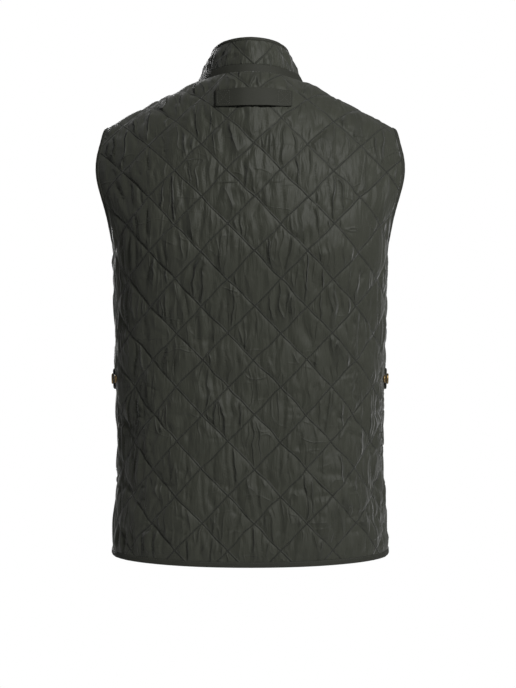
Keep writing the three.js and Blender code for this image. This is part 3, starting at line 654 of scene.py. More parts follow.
COLLAR_CREASES = (
    Crease(-44, 27, 78, 16, 3.4, -1.6), Crease(-34, 21, 102, 13, 3, -1.3),
    Crease(-58, 34, 66, 14, 3.4, -1.4), Crease(30, 24, 96, 16, 3.4, -1.5),
    Crease(16, 33, 74, 12, 3, -1.2), Crease(48, 30, 112, 14, 3.4, -1.5),
    Crease(92, 28, 82, 16, 3.6, -1.5), Crease(-96, 26, 100, 16, 3.6, -1.5),
    Crease(132, 30, 68, 14, 3.4, -1.3), Crease(-136, 28, 74, 14, 3.4, -1.3),
)


class CollarForm:
    """The stand collar as it is worn, over its own flat pattern."""

    height: float = 52
    binding: float = 3.5
    draw: float = 3
    axis_y: float = -18
    square: float = 0.8
    ease: float = 16
    band: tuple = (2.8, 11)
    slack: float = 0.6
    lean: Rows = ((0, 14), (0.3, 22), (0.5, 27), (0.75, 14), (1, 2))
    columns: int = 121
    rows: tuple = (-8, 64, 4)
    outline_steps: int = 120

    def __init__(self) -> None:
        """Measures the neck seam and lays out the collar's surface."""
        back = PATTERN.neck(Side.BACK)[::-1]
        front = PATTERN.neck(Side.FRONT)[1:]
        edge = FIGURE.height_t(Side.FRONT, PATTERN.front_edge, PATTERN.front_neck[-1][1])
        front = np.concatenate([front, [(PATTERN.front_edge, edge)]])
        seam = [
            BACK.place(back[:, 0], back[:, 1], np.zeros(len(back))),
            FRONT.place(front[:, 0], front[:, 1], np.zeros(len(front))),
        ]
        self.seam = np.concatenate(seam)
        self.along = lengths(self.seam)
        self.half = float(self.along[-1])
        self.inner = self.half - PATTERN.front_binding - 4 * self.slack
        self.top = self.height - self.binding
        self.surface = self._surface()

    def foot(self, u: Array) -> Array:
        """Places on the neck seam by their signed length from centre back."""
        at = np.minimum(np.abs(u), self.half)
        point = np.stack([np.interp(at, self.along, self.seam[:, k]) for k in range(3)], 1)
        point[:, 0] = np.where(u < 0, -point[:, 0], point[:, 0])
        return point

    def _surface(self) -> Surface:
        """The worn collar over its pattern: u round the neck, v up the collar.

        Returns:
            The surface, over the whole of its pattern.
        """
        u = np.linspace(-self.half, self.half, self.columns)
        v = np.arange(*self.rows, dtype=float)
        at = np.abs(u)
        foot = self.foot(at)
        inward = np.stack([-foot[:, 0], self.axis_y - foot[:, 1], np.zeros(len(u))], 1)
        lean = np.radians(read_rows(self.lean, at / self.half)[:, 0])
        rise = unit(inward) * np.sin(lean)[:, None]
        rise[:, 2] += np.cos(lean)
        seam = unit(self.foot(at + self.ease) - self.foot(at - self.ease))
        rise -= self.square * np.sum(rise * seam, 1, keepdims=True) * seam
        rise = unit(rise)
        points = foot[None] + v[:, None, None] * rise[None]
        points[..., 0] *= np.where(u < 0, -1.0, 1.0)[None, :]

        def creases(u: Array, v: Array) -> Array:
            """Height of the collar's creases."""
            return sum(crease.height(u, v) for crease in COLLAR_CREASES)
        return Surface(u, v, points, 1, creases)

    def outline(self) -> Array:
        """Outline of the quilted stand.

        Returns:
            Its corners, once round.
        """
        low = np.linspace(-self.inner, self.inner, self.outline_steps)
        high = low * (self.inner - self.draw) / self.inner
        foot = self.band[1] + self.slack
        bottom = np.stack([low, np.full(len(low), foot)], 1)
        top = np.stack([high, np.full(len(high), self.top - self.slack)], 1)
        return np.concatenate([bottom, top[::-1]])


COLLAR = CollarForm()


# Shader nodes and finishes.


class Shade:
    """One output of a shader node, so that maths on it reads as Python."""

    def __init__(self, finish: "Finish", socket: bpy.types.NodeSocket) -> None:
        """Wraps a socket of a finish's node tree."""
        self.finish = finish
        self.socket = socket

    def _math(self, operation: str, *values: object, clamp: bool = False) -> "Shade":
        """Adds one Math node."""
        sockets = dict(enumerate(values))
        return self.finish.node(
            "ShaderNodeMath", {"operation": operation, "use_clamp": clamp}, sockets)

    def __add__(self, other: object) -> "Shade":
        """Sum."""
        return self._math("ADD", self, other)

    def __radd__(self, other: object) -> "Shade":
        """Sum."""
        return self._math("ADD", other, self)

    def __sub__(self, other: object) -> "Shade":
        """Difference."""
        return self._math("SUBTRACT", self, other)

    def __rsub__(self, other: object) -> "Shade":
        """Difference."""
        return self._math("SUBTRACT", other, self)

    def __mul__(self, other: object) -> "Shade":
        """Product."""
        return self._math("MULTIPLY", self, other)

    def __rmul__(self, other: object) -> "Shade":
        """Product."""
        return self._math("MULTIPLY", other, self)

    def __truediv__(self, other: object) -> "Shade":
        """Quotient."""
        return self._math("DIVIDE", self, other)

    def sine(self) -> "Shade":
        """Sine of the value in radians."""
        return self._math("SINE", self)

    def floored(self) -> "Shade":
        """The whole number below the value."""
        return self._math("FLOOR", self)

    def size(self) -> "Shade":
        """The value without its sign."""
        return self._math("ABSOLUTE", self)

    def away(self) -> "Shade":
        """Distance to the nearest whole number."""
        return self._math("PINGPONG", self, 0.5)

    def below(self, edge: float, soft: float) -> "Shade":
        """1 below the edge, 0 above it, over a soft stretch."""
        return ((edge - self) / soft + 0.5).clamped()

    def clamped(self) -> "Shade":
        """The value held between 0 and 1."""
        return self._math("ADD", self, 0.0, clamp=True)


@dataclass
class Finish:
    """A material built from nodes; each kind of surface is a subclass."""

    title: str
    material: Optional[bpy.types.Material] = field(default=None, init=False)
    # The number of the Texture Coordinate node's output for Object coordinates.
    object_output: int = field(default=3, init=False)

    def made(self) -> bpy.types.Material:
        """The material, built on its first use.

        Returns:
            The material.
        """
        if self.material is None:
            self.material = bpy.data.materials.new(self.title)
            self.material.use_nodes = True
            self.tree = self.material.node_tree
            self.tree.nodes.clear()
            self.surface = self.tree.nodes.new("ShaderNodeBsdfPrincipled")
            output = self.tree.nodes.new("ShaderNodeOutputMaterial")
            self.tree.links.new(self.surface.outputs[0], output.inputs[0])
            self.build()
        return self.material

    def build(self) -> None:
        """Sets the surface's sockets; each finish has its own."""
        raise NotImplementedError

    def node(self, kind: str, settings: dict, sockets: dict, output: int = 0) -> Shade:
        """Adds one node.

        Args:
            kind: the node's type.
            settings: its properties, set before its sockets; stops fills a colour ramp.
            sockets: values or links of its sockets, by name or number.
            output: which of its outputs is given back.

        Returns:
            That output.
        """
        made = self.tree.nodes.new(kind)
        for key, value in settings.items():
            if key == "stops":
                self._fill_ramp(made.color_ramp, value)
            else:
                setattr(made, key, value)
        for key, value in sockets.items():
            self.feed(self._socket(made, key), value)
        live = [socket for socket in made.outputs if socket.enabled]
        return Shade(self, live[output])

    @staticmethod
    def _fill_ramp(ramp: bpy.types.ColorRamp, stops: Sequence) -> None:
        """Sets a ramp's stops from pairs of place and colour.

        Args:
            ramp: the ramp.
            stops: the pairs, in rising order.
        """
        while len(ramp.elements) < len(stops):
            ramp.elements.new(1)
        for element, (place, colour) in zip(ramp.elements, stops):
            element.position = place
            element.color = (*colour, 1)

    @staticmethod
    def _socket(node: bpy.types.Node, key: object) -> bpy.types.NodeSocket:
        """An input by its number, or the one in use by its name."""
        if isinstance(key, int):
            return node.inputs[key]
        return next(x for x in node.inputs if x.name == key and x.enabled)

    def feed(self, socket: bpy.types.NodeSocket, value: object) -> None:
        """Links or sets one input.

        Args:
            socket: the input.
            value: a Shade to link, or a value to set.
        """
        if isinstance(value, Shade):
            self.tree.links.new(value.socket, socket)
        elif isinstance(value, tuple) and len(value) == 3 and socket.type == "RGBA":
            socket.default_value = (*value, 1)
        else:
            socket.default_value = value

    def coat(self, sockets: dict) -> None:
        """Sets the surface shader's own sockets."""
        for key, value in sockets.items():
            self.feed(self.surface.inputs[key], value)

    def pattern(self) -> tuple[Shade, Shade, Shade]:
        """The piece's pattern coordinates: the vector and its two numbers."""
        vector = self.node("ShaderNodeUVMap", {"uv_map": "pattern"}, {})
        x, y = (self.node("ShaderNodeSeparateXYZ", {}, {"Vector": vector}, k) for k in (0, 1))
        return vector, x, y

    def place(self) -> Shade:
        """Object coordinates."""
        return self.node("ShaderNodeTexCoord", {}, {}, self.object_output)

    def stretched(self, vector: Shade, scale: tuple) -> Shade:
        """A vector scaled along each axis."""
        return self.node("ShaderNodeMapping", {}, {"Vector": vector, "Scale": scale})

    def cloud(self, vector: Shade, scale: float, detail: float = 2) -> Shade:
        """Even noise between 0 and 1."""
        sockets = {"Vector": vector, "Scale": scale, "Detail": detail, "Roughness": 0.55}
        return self.node("ShaderNodeTexNoise", {}, sockets)

    def mix(self, share: object, a: object, b: object) -> Shade:
        """A colour between a and b."""
        return self.node(
            "ShaderNodeMix", {"data_type": "RGBA"}, {"Factor": share, "A": a, "B": b})

    def relief(self, height: Shade, distance: float, strength: float = 1) -> None:
        """Feeds the normal with a bump of the given depth in metres."""
        bump = self.node("ShaderNodeBump", {}, {
            "Height": height, "Distance": distance, "Strength": strength})
        self.coat({"Normal": bump})


Colour = tuple[float, float, float]
# How far apart the unevenness of two neighbouring diamonds is read, each way.
EACH_DIAMOND = (1.7, 2.3)


@dataclass
class Nylon(Finish):
    """Satin nylon with quilting stitches and painted shade in its grooves and pleats; its pattern
    counts in whole diamonds.
    """

    colour: Colour = (0.022, 0.0235, 0.0168)
    light: Colour = (0.032, 0.034, 0.0245)
    # The thread's colour; it is also painted as shade into the grooves and the pleats' valleys.
    thread: Colour = (0.012, 0.013, 0.010)
    roughness: float = 0.6
    # Distance between two parallel stitch lines, and from one stitch to the next, in mm.
    diamond: float = 53.0
    stitch: float = 3.4
    # Half a diamond's width and height, in metres.
    half_wide: float = 0.037
    half_tall: float = 0.038
    # Scales across and up the cloth, half widths and rareness of the three sets of pleats.
    long_pleats: tuple = ((50, 7, 1), 0.11, 0.36)
    short_pleats: tuple = ((84, 15, 1), 0.12, 0.42)
    level_pleats: tuple = ((24, 58, 1), 0.08, 0.56)
    bent: float = 0.008
    depth: float = 0.0034

    def _stitches(self, across: Shade, along: Shade) -> Shade:
        """Thread of one set of parallel stitch lines, from 0 to 1."""
        line = (across.away() * self.diamond).below(0.42, 0.25)
        dash = (along * (self.diamond / self.stitch)).away().below(0.34, 0.12)
        return line * dash

    def _valleys(self, flat: Shade, scale: tuple, wide: float, few: float) -> Shade:
        """Thin valleys along the lines where stretched noise is at its middle.

        Args:
            flat: pattern coordinates in metres.
            scale: the noise's scale across and up the cloth.
            wide: half width of a valley, in parts of the noise's range.
            few: how much of the cloth is left without them, from 0 to 1.

        Returns:
            1 in the middle of a valley, 0 away from it.
        """
        level = self.cloud(self.stretched(flat, scale), 1, 0)
        slope = (1 - (level - 0.5).size() / wide).clamped()
        patch = self.cloud(self.stretched(flat, (scale[0] * 0.31, scale[1] * 0.9, 1)), 1, 0)
        return slope * slope * ((patch - few) * 3.5).clamped()

    def build(self) -> None:
        """Weave, pleats, stitches, and shade painted into the grooves and pleats."""
        _, p, q = self.pattern()
        s = (p + q) * self.half_wide
        t = (p - q) * self.half_tall
        plain = self.node("ShaderNodeCombineXYZ", {}, {"X": s, "Y": t})
        bend = self.cloud(self.stretched(plain, (24, 38, 1)), 1, 1)
        each = p.floored() * EACH_DIAMOND[0] + q.floored() * EACH_DIAMOND[1]
        flat = self.node(
            "ShaderNodeCombineXYZ", {}, {"X": s + bend * self.bent, "Y": t, "Z": each})
        thread = (self._stitches(p, q) + self._stitches(q, p)).clamped()
        grooves = [(x.away() * self.diamond).below(0.9, 1.3) for x in (p, q)]
        groove = (grooves[0] + grooves[1]).clamped()
        clear = [1 - (x.away() * self.diamond).below(3.5, 6) for x in (p, q)]
        open_cloth = clear[0] * clear[1]
        pleats = self._valleys(flat, *self.long_pleats)
        small = self._valleys(flat, *self.short_pleats)
        level = self._valleys(flat, *self.level_pleats)
        folds = (pleats + small * 0.55 + level * 0.4) * open_cloth
        streaks = self.cloud(self.stretched(flat, (420, 34, 1)), 1, 3)
        patches = self.cloud(self.stretched(plain, (16, 11, 1)), 1, 2)
        weave = self.cloud(self.stretched(plain, (3600, 1500, 1)), 1, 1)
        puckers = self.cloud(self.stretched(flat, (150, 26, 1)), 1, 2)
        tone = (streaks * 0.55 + patches * 0.7 - 0.12).clamped()
        cloth = self.mix(tone, self.colour, self.light)
        # Painted shade: the grooves along the stitch lines and the pleats' valleys are darkened
        # towards the thread colour.
        cloth = self.mix(groove * 0.75 + folds * 0.35, cloth, self.thread)
        self.coat({
            "Base Color": self.mix(thread * 0.75, cloth, self.thread),
            "Roughness": self.roughness + patches * 0.12 - 0.06 + groove * 0.12,
            "Sheen Weight": 0.15,
            "Sheen Roughness": 0.5,
            "Specular IOR Level": 0.22,
        })
        height = puckers * 0.6 - folds * 0.8 + streaks * 0.035 + weave * 0.01
        self.relief(height + thread * 0.05 - groove * 0.3, self.depth)


@dataclass
class Lining(Finish):
    """The plain inside."""

    colour: Colour = (0.028, 0.030, 0.025)
    light: Colour = (0.040, 0.042, 0.036)

    def build(self) -> None:
        """A fine plain weave with soft creases."""
        at = self.place()
        soft = self.cloud(at, 24, 3)
        fine = self.cloud(at, 1500, 1)
        self.coat({
            "Base Color": self.mix(soft, self.colour, self.light),
            "Roughness": 0.52 + soft * 0.12,
            "Sheen Weight": 0.2,
        })
        self.relief(soft * 0.8 + fine * 0.06, 0.0014)


@dataclass
class Tape(Finish):
    """Woven tape with cross ribs and finer ribs along its length.

    Its pattern is in metres: along the tape, and across it from its seam.
    """

    colour: Colour = (0.017, 0.018, 0.0135)
    light: Colour = (0.027, 0.028, 0.0215)
    rib: float = 0.9
    rib_row: float = 0.6
    roughness: float = 0.66
    sheen: float = 0.04

    def build(self) -> None:
        """Ribs, wear and fibres."""
        vector, along, across = self.pattern()
        ribs = (along * (2 * math.pi / (self.rib * MM))).sine() * 0.5 + 0.5
        rows = (across * (2 * math.pi / (self.rib_row * MM))).sine() * 0.5 + 0.5
        fibres = self.cloud(self.stretched(vector, (160, 900, 1)), 1, 2)
        soft = self.cloud(self.place(), 40, 2)
        self.coat({
            "Base Color": self.mix((soft * 0.7 + fibres * 0.4).clamped(), self.colour, self.light),
            "Roughness": self.roughness + soft * 0.14 - 0.07,
            "Sheen Weight": self.sheen,
            "Specular IOR Level": 0.2,
        })
        self.relief(ribs * 0.45 + rows * 0.2 + fibres * 0.5, 0.00022)


@dataclass
class Thread(Finish):
    """Twisted sewing thread."""

    colour: Colour = (0.035, 0.036, 0.028)
    light: Colour = (0.055, 0.056, 0.046)

    def build(self) -> None:
        """A fine twist."""
        twist = self.cloud(self.place(), 2400, 1)
        self.coat({
            "Base Color": self.mix(twist, self.colour, self.light),
            "Roughness": 0.5 + twist * 0.1,
        })
        self.relief(twist, 0.0001)


@dataclass
class Moulded(Finish):
    """Dark moulded zip teeth."""

    colour: Colour = (0.020, 0.018, 0.015)
    light: Colour = (0.05, 0.045, 0.036)

    def build(self) -> None:
        """A slight polish with rubbed patches."""
        rubbed = self.cloud(self.place(), 90, 3)
        self.coat({
            "Base Color": self.mix(rubbed, self.colour, self.light),
            "Roughness": 0.3 + rubbed * 0.25,
            "Metallic": 0.15 + rubbed * 0.2,
        })
        self.relief(rubbed, 0.0001)


@dataclass
class AntiqueBrass(Finish):
    """Aged brass, dark in its hollows and rubbed bright on its edges."""

    dark: Colour = (0.09, 0.062, 0.03)
    bright: Colour = (0.44, 0.31, 0.14)
    # The number of the Geometry node's output for sharp edges.
    pointiness: int = 7

    def build(self) -> None:
        """Patina, rubbed edges and fine scratches."""
        at = self.place()
        pointed = self.node("ShaderNodeNewGeometry", {}, {}, self.pointiness)
        rubbed = ((pointed - 0.49) * 7).clamped()
        patina = self.cloud(at, 420, 4)
        scratch = self.cloud(self.stretched(at, (1, 1, 9)), 700, 2)
        worn = (rubbed * 0.7 + patina * 0.9 - 0.25).clamped()
        self.coat({
            "Base Color": self.mix(worn, self.dark, self.bright),
            "Metallic": 1.0,
            "Roughness": 0.5 - worn * 0.2 + scratch * 0.1,
        })
        self.relief(scratch * 0.4 + patina * 0.6, 0.00008)


@dataclass
class Paper(Finish):
    """The pale floor."""

    colour: Colour = (0.86, 0.86, 0.86)
    light: Colour = (0.9, 0.9, 0.9)

    def build(self) -> None:
        """A plain matt surface."""
        soft = self.cloud(self.place(), 1.5, 1)
        self.coat({"Base Color": self.mix(soft, self.colour, self.light), "Roughness": 0.9})


NYLON = Nylon("satin_nylon")
LINING = Lining("plain_lining")
BINDING = Tape("binding_tape")
ZIP_CLOTH = Tape("zip_cloth", (0.012, 0.012, 0.010), (0.022, 0.022, 0.019), rib=1.4,
                 roughness=0.8, sheen=0.1)
THREAD = Thread("sewing_thread")
TEETH = Moulded("moulded_teeth")
BRASS = AntiqueBrass("antique_brass")


# Meshes.


@dataclass
class Piece:
    """A finished mesh on its way into the scene."""

    name: str
    mesh: bmesh.types.BMesh
    finishes: Sequence[Finish]
    slot: str
    replaces: Sequence[str] = ()
    body: str = "vest"

    def shown(self) -> bpy.types.Object:
        """Puts the piece into the scene and lets it ride on its body.

        Returns:
            The piece's object.
        """
        data = bpy.data.meshes.new(self.name)
        self.mesh.to_mesh(data)
        self.mesh.free()
        for finish in self.finishes:
            data.materials.append(finish.made())
        data.polygons.foreach_set("use_smooth", [True] * len(data.polygons))
        thing = bpy.data.objects.new(self.name, data)
        bpy.context.scene.collection.objects.link(thing)
        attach(thing, self.body)
        if self.replaces:
            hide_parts(*self.replaces)
        LOG.info("%s: %d faces", self.name, len(data.polygons))
        return thing


def corners(mesh: bmesh.types.BMesh) -> Array:
    """The places of a mesh's vertices."""
    return np.array([v.co[:] for v in mesh.verts])


def move_corners(mesh: bmesh.types.BMesh, places: Array) -> None:
    """Gives a mesh's vertices new places."""
    for vertex, place in zip(mesh.verts, places):
        vertex.co = place


def draw_pattern(mesh: bmesh.types.BMesh, values: Array) -> None:
    """Writes one pair of pattern coordinates for each vertex.

    Args:
        mesh: the mesh to write them on.
        values: the pairs, in the order of the mesh's vertices.
    """
    mesh.verts.index_update()
    layer = mesh.loops.layers.uv.new("pattern")
    for face in mesh.faces:
        for loop in face.loops:
            loop[layer].uv = values[loop.vert.index]


def flat_grid(columns: int, rows: int) -> bmesh.types.BMesh:
    """A grid whose corners run from 0 to 1 both ways."""
    mesh = bmesh.new()
    bmesh.ops.create_grid(mesh, x_segments=columns, y_segments=rows, size=0.5)
    bmesh.ops.translate(mesh, vec=(0.5, 0.5, 0), verts=mesh.verts)
    return mesh


def closed_up(mesh: bmesh.types.BMesh, merge: float = 1e-6) -> bmesh.types.BMesh:
    """Merges doubles, closes open ends and turns every face outwards.

    Args:
        mesh: the mesh to finish.
        merge: vertices closer than this are merged.

    Returns:
        The same mesh.
    """
    bmesh.ops.remove_doubles(mesh, verts=mesh.verts, dist=merge)
    open_edges = [edge for edge in mesh.edges if edge.is_boundary]
    if open_edges:
        bmesh.ops.holes_fill(mesh, edges=open_edges, sides=0)
    bmesh.ops.recalc_face_normals(mesh, faces=mesh.faces)
    return mesh


@dataclass(frozen=True)
class Section:
    """Cross section of a tape: a rounded rectangle between two reaches and two heights."""

    near: float
    far: float
    low: float
    high: float
    square: float = 4.5

    def points(self, share: Array) -> Array:
        """Points round the section at shares of its turn.

        Args:
            share: shares of the turn, from 0 to 1.

        Returns:
            The reach and the height of each point.
        """
        angle = 2 * math.pi * share
        def soft(value: Array) -> Array:
            """A value drawn towards the corners of the section."""
            return np.sign(value) * np.abs(value) ** (2 / self.square)
        x = (self.near + self.far) / 2 + (self.far - self.near) / 2 * soft(np.cos(angle))
        y = (self.low + self.high) / 2 + (self.high - self.low) / 2 * soft(np.sin(angle))
        return np.stack([x, y], 1)


def ribbon(frames: Frames, section: Section, loop: bool = False, round_steps: int = 16,
           narrow: Optional[Array] = None, lift: Optional[Array] = None,
           ripple: float = 0.0) -> bmesh.types.BMesh:
    """A tape carried along a row of places.

    Args:
        frames: the places; the section's reach is along across, its height along out.
        section: the tape's cross section.
        loop: whether the last place is the first one again.
        round_steps: how many stretches go round the section.
        narrow: how much of the section's reach is left at each place.
        lift: extra height at each place.
        ripple: height of the uneven ripple that sewing leaves.

    Returns:
        The closed mesh, in metres.
    """
    count = len(frames.at)
    along = lengths(frames.at)
    narrow = np.ones(count) if narrow is None else narrow
    lift = np.zeros(count) if lift is None else lift
    mesh = flat_grid(count - 1, round_steps)
    share = corners(mesh)
    k = np.rint(share[:, 0] * (count - 1)).astype(int)
    points = section.points(share[:, 1])
    draw_pattern(mesh, np.stack([along[k], points[:, 0]], 1) * MM)
    waves = ripple * wobble(along, along * 0, 5.5, 1, 3.3 + count) + lift
    if loop:
        waves[-1] = waves[0]
    reach = (points[:, 0] * narrow[k])[:, None] * frames.across[k]
    height = (points[:, 1] + waves[k])[:, None] * frames.out[k]
    move_corners(mesh, (frames.at[k] + reach + height) * MM)
    return closed_up(mesh)


def stitches(path: Array, out: Array, length: float = 2.5, pitch: float = 3.3,
             thick: float = 0.5) -> bmesh.types.BMesh:
    """A row of stitches along a path.

    Args:
        path: places on the cloth's face, in millimetres.
        out: the outward direction at each place.
        length: length of a stitch.
        pitch: distance from one stitch to the next.
        thick: thickness of the thread.

    Returns:
        The stitches, in metres.
    """
    mesh = bmesh.new()
    along = lengths(path)
    total = along[-1]
    count = max(int(total / pitch), 1)
    middles = (np.arange(count) + 0.5) * total / count
    for middle in middles:
        a, b, n = (Vector([np.interp(x, along, table[:, i]) for i in range(3)])
                   for x, table in ((middle - length / 2, path), (middle + length / 2, path),
                                    (middle, out)))
        way = (b - a).normalized()
        side = n.cross(way).normalized()
        up = way.cross(side)
        turn = Matrix((way, side, up)).transposed().to_4x4()
        size = Matrix.Diagonal((length / 2 * MM, thick / 2 * MM, thick * 0.4 * MM, 1))
        spot = Matrix.Translation((a + b) / 2 * MM)
        bmesh.ops.create_icosphere(mesh, subdivisions=1, radius=1, matrix=spot @ turn @ size)
    return mesh


def gathered(meshes: Sequence[bmesh.types.BMesh]) -> bmesh.types.BMesh:
    """Several meshes as one.

    Args:
        meshes: the meshes, which are freed.

    Returns:
        A new mesh that holds them all.
    """
    whole = bmesh.new()
    for mesh in meshes:
        data = bpy.data.meshes.new("part")
        mesh.to_mesh(data)
        mesh.free()
        whole.from_mesh(data)
        bpy.data.meshes.remove(data)
    return whole


# Quilting.


@dataclass(frozen=True)
class PleatSet:
    """One set of pleats: thin valleys along the lines where unevenness is nought."""

    grain: tuple
    wide: float
    patch: tuple
    patch_edges: tuple
    seeds: tuple
    sharp: float = 1.6

    def depth(self, across: Array, s: Array, t: Array, own: Array) -> Array:
        """How deep the pleats are.

        Args:
            across: the points across the cloth, bent as the pleats are.
            s: pattern points across the cloth.
            t: pattern points up the cloth.
            own: the seed of the diamond in which each point lies.

        Returns:
            1 in the middle of a valley, falling off to 0 on both sides.
        """
        level = wobble(across, t, *self.grain, own + self.seeds[0])
        valley = np.clip(1 - np.abs(level) / self.wide, 0, 1) ** self.sharp
        return valley * smoothstep(wobble(s, t, *self.patch, own + self.seeds[1]),
                                   *self.patch_edges)


LONG_PLEATS = PleatSet((17, 110), 0.2, (46, 40), (-0.4, 0), (5, 21))
SHORT_PLEATS = PleatSet((11, 60), 0.26, (34, 28), (-0.1, 0.3), (9, 27))
LEVEL_PLEATS = PleatSet((36, 17), 0.2, (44, 36), (0.0, 0.35), (17, 33))


@dataclass(frozen=True)
class Quilt:
    """The padded cloth: its diamonds, its puff and the puckers of its stitching."""

    wall: float = 2.2
    puff: float = 3.6
    wide: float = 74
    tall: float = 76
    taper: float = 16
    cells: int = 24
    crowd: float = 0.5
    swell: float = 0.4
    pleat: float = 4.4
    bend: float = 4
    # Where the level pleats of the hem's sides end, up and across the cloth.
    low_end: tuple = (150, 330)
    side_start: tuple = (40, 150)
    lowest: float = -0.8
    uneven: float = 0.16
    slack: float = 0.1
    margin: float = 12
    waver: float = 2.4
    waver_wide: float = 26
    flat: float = 0.2
    press_soft: float = 9

    def lattice(self, s: Array, t: Array, origin: tuple) -> tuple[Array, Array]:
        """Pattern points counted in diamonds, so that stitch lines are whole numbers."""
        x, y = (s - origin[0]) / self.wide, (t - origin[1]) / self.tall
        return x + y, x - y

    def blank(self, outline: Array, origin: tuple) -> bmesh.types.BMesh:
        """A flat slab over an outline whose edges run along the stitch lines.

        Args:
            outline: the outline that it has to cover.
            origin: a crossing of stitch lines.

        Returns:
            The slab in the pattern's plane, from height 0 to 1.
        """
        p, q = self.lattice(outline[:, 0], outline[:, 1], origin)
        p0, q0 = math.floor(p.min()), math.floor(q.min())
        wide, tall = math.ceil(p.max()) - p0, math.ceil(q.max()) - q0
        mesh = flat_grid(wide * self.cells, tall * self.cells)
        share = corners(mesh)
        p = self._crowded(share[:, 0] * wide) + p0
        q = self._crowded(share[:, 1] * tall) + q0
        s = origin[0] + self.wide * (p + q) / 2
        t = origin[1] + self.tall * (p - q) / 2
        near = inside_of(outline, s, t) | (edge_distance(outline, s, t) < self.margin)
        column, row = (np.rint(share[:, k] * n * self.cells).astype(int)
                       for k, n in enumerate((wide, tall)))
        keep = self._whole_pairs(near, column, row)
        odd = column % 2 + row % 2
        move_corners(mesh, np.stack([s, t, np.zeros(len(s))], 1))
        verts = mesh.verts[:]
        feet = [[v for v, kept, n in zip(verts, keep, odd) if kept and n == k] for k in (2, 1)]
        bmesh.ops.delete(mesh, geom=[v for v, kept in zip(verts, keep) if not kept],
                         context="VERTS")
        made = bmesh.ops.extrude_face_region(mesh, geom=mesh.faces[:])["geom"]
        top = [x for x in made if isinstance(x, bmesh.types.BMVert)]
        bmesh.ops.translate(mesh, vec=(0, 0, 1), verts=top)
        for foot in feet:
            bmesh.ops.dissolve_verts(mesh, verts=foot)
        bmesh.ops.recalc_face_normals(mesh, faces=mesh.faces)
        return mesh

    @staticmethod
    def _whole_pairs(near: Array, column: Array, row: Array) -> Array:
        """Which grid points are kept, so that the cells go in blocks of two by two.

        Args:
            near: whether each grid point is wanted.
            column: each point's column.
            row: each point's row.

        Returns:
            Whether each point is kept.
        """
        table = np.zeros((row.max() + 1, column.max() + 1), bool)
        table[row, column] = near
        blocks = table[:-1:2, :-1:2] | table[1::2, 1::2] | table[:-1:2, 2::2] | table[2::2, :-1:2]
        kept = np.zeros_like(table)
        for down, over in np.argwhere(blocks) * 2:
            kept[down:down + 3, over:over + 3] = True
        return kept[row, column]

    def _crowded(self, count: Array) -> Array:
        """Draws grid lines together near the stitch lines."""
        whole = np.floor(count + 1e-9)
        part = count - whole
        return whole + part + self.crowd * ((1 - np.cos(math.pi * part)) / 2 - part)

    def relief(self, p: Array, q: Array, s: Array, t: Array, seed: float) -> Array:
        """Height of the padded face over its stitch lines.

        Args:
            p: pattern points counted in diamonds, one way.
            q: the other way.
            s: the same points across the cloth.
            t: and up it.
            seed: makes each panel uneven in its own way.

        Returns:
            The heights.
        """
        def rounded(x: Array) -> Array:
            """A rounded swell between two stitch lines."""
            return np.abs(np.sin(math.pi * x)) ** self.swell
        share = rounded(p) * rounded(q)
        fill = 1 + self.uneven * wobble(np.floor(p) * 7.3, np.floor(q) * 5.1, 1, 1, seed)
        slack = self.slack * wobble(s, t, 30, 38, seed + 13)
        own = seed + EACH_DIAMOND[0] * np.floor(p) + EACH_DIAMOND[1] * np.floor(q)
        height = self.puff * (fill + slack) + self.pleats(s, t, seed, own)
        return np.maximum(height * share, self.lowest)

    def pressed(self, s: Array, t: Array, spots: Sequence[tuple]) -> Array:
        """Share of the relief that is left where something is sewn through the padding.

        Args:
            s: pattern points across the cloth.
            t: and up it.
            spots: middle and half size of each sewn box.

        Returns:
            The share at each point.
        """
        left = np.ones(len(s))
        for x, y, wide, tall in spots:
            past = np.maximum(np.abs(s - x) - wide, np.abs(t - y) - tall)
            left *= self.flat + (1 - self.flat) * smoothstep(past, 0, self.press_soft)
        return left

    def pleats(self, s: Array, t: Array, seed: float, own: Array) -> Array:
        """Height of the small pleats that the stitching draws in the cloth.

        Most run up the cloth, in thin valleys between soft ridges; near the hem's sides
        a few run across it.

        Args:
            s: pattern points across the cloth.
            t: and up it.
            seed: the panel's seed.
            own: the seed of the diamond in which each point lies.

        Returns:
            The heights.
        """
        bent = s + self.bend * wobble(s, t, 50, 34, seed + 3)
        long_ones = LONG_PLEATS.depth(bent, s, t, own)
        short_ones = 0.7 * SHORT_PLEATS.depth(bent, s, t, own)
        low = 1 - smoothstep(t, *self.low_end)
        side = smoothstep(np.abs(s), *self.side_start)
        level_ones = LEVEL_PLEATS.depth(s, s, t, own) * (0.3 + 0.6 * low * side)
        soft = 0.3 * wobble(bent, t, *SHORT_PLEATS.grain, own + 41)
        return self.pleat * (soft - np.maximum.reduce([long_ones, short_ones, level_ones]))

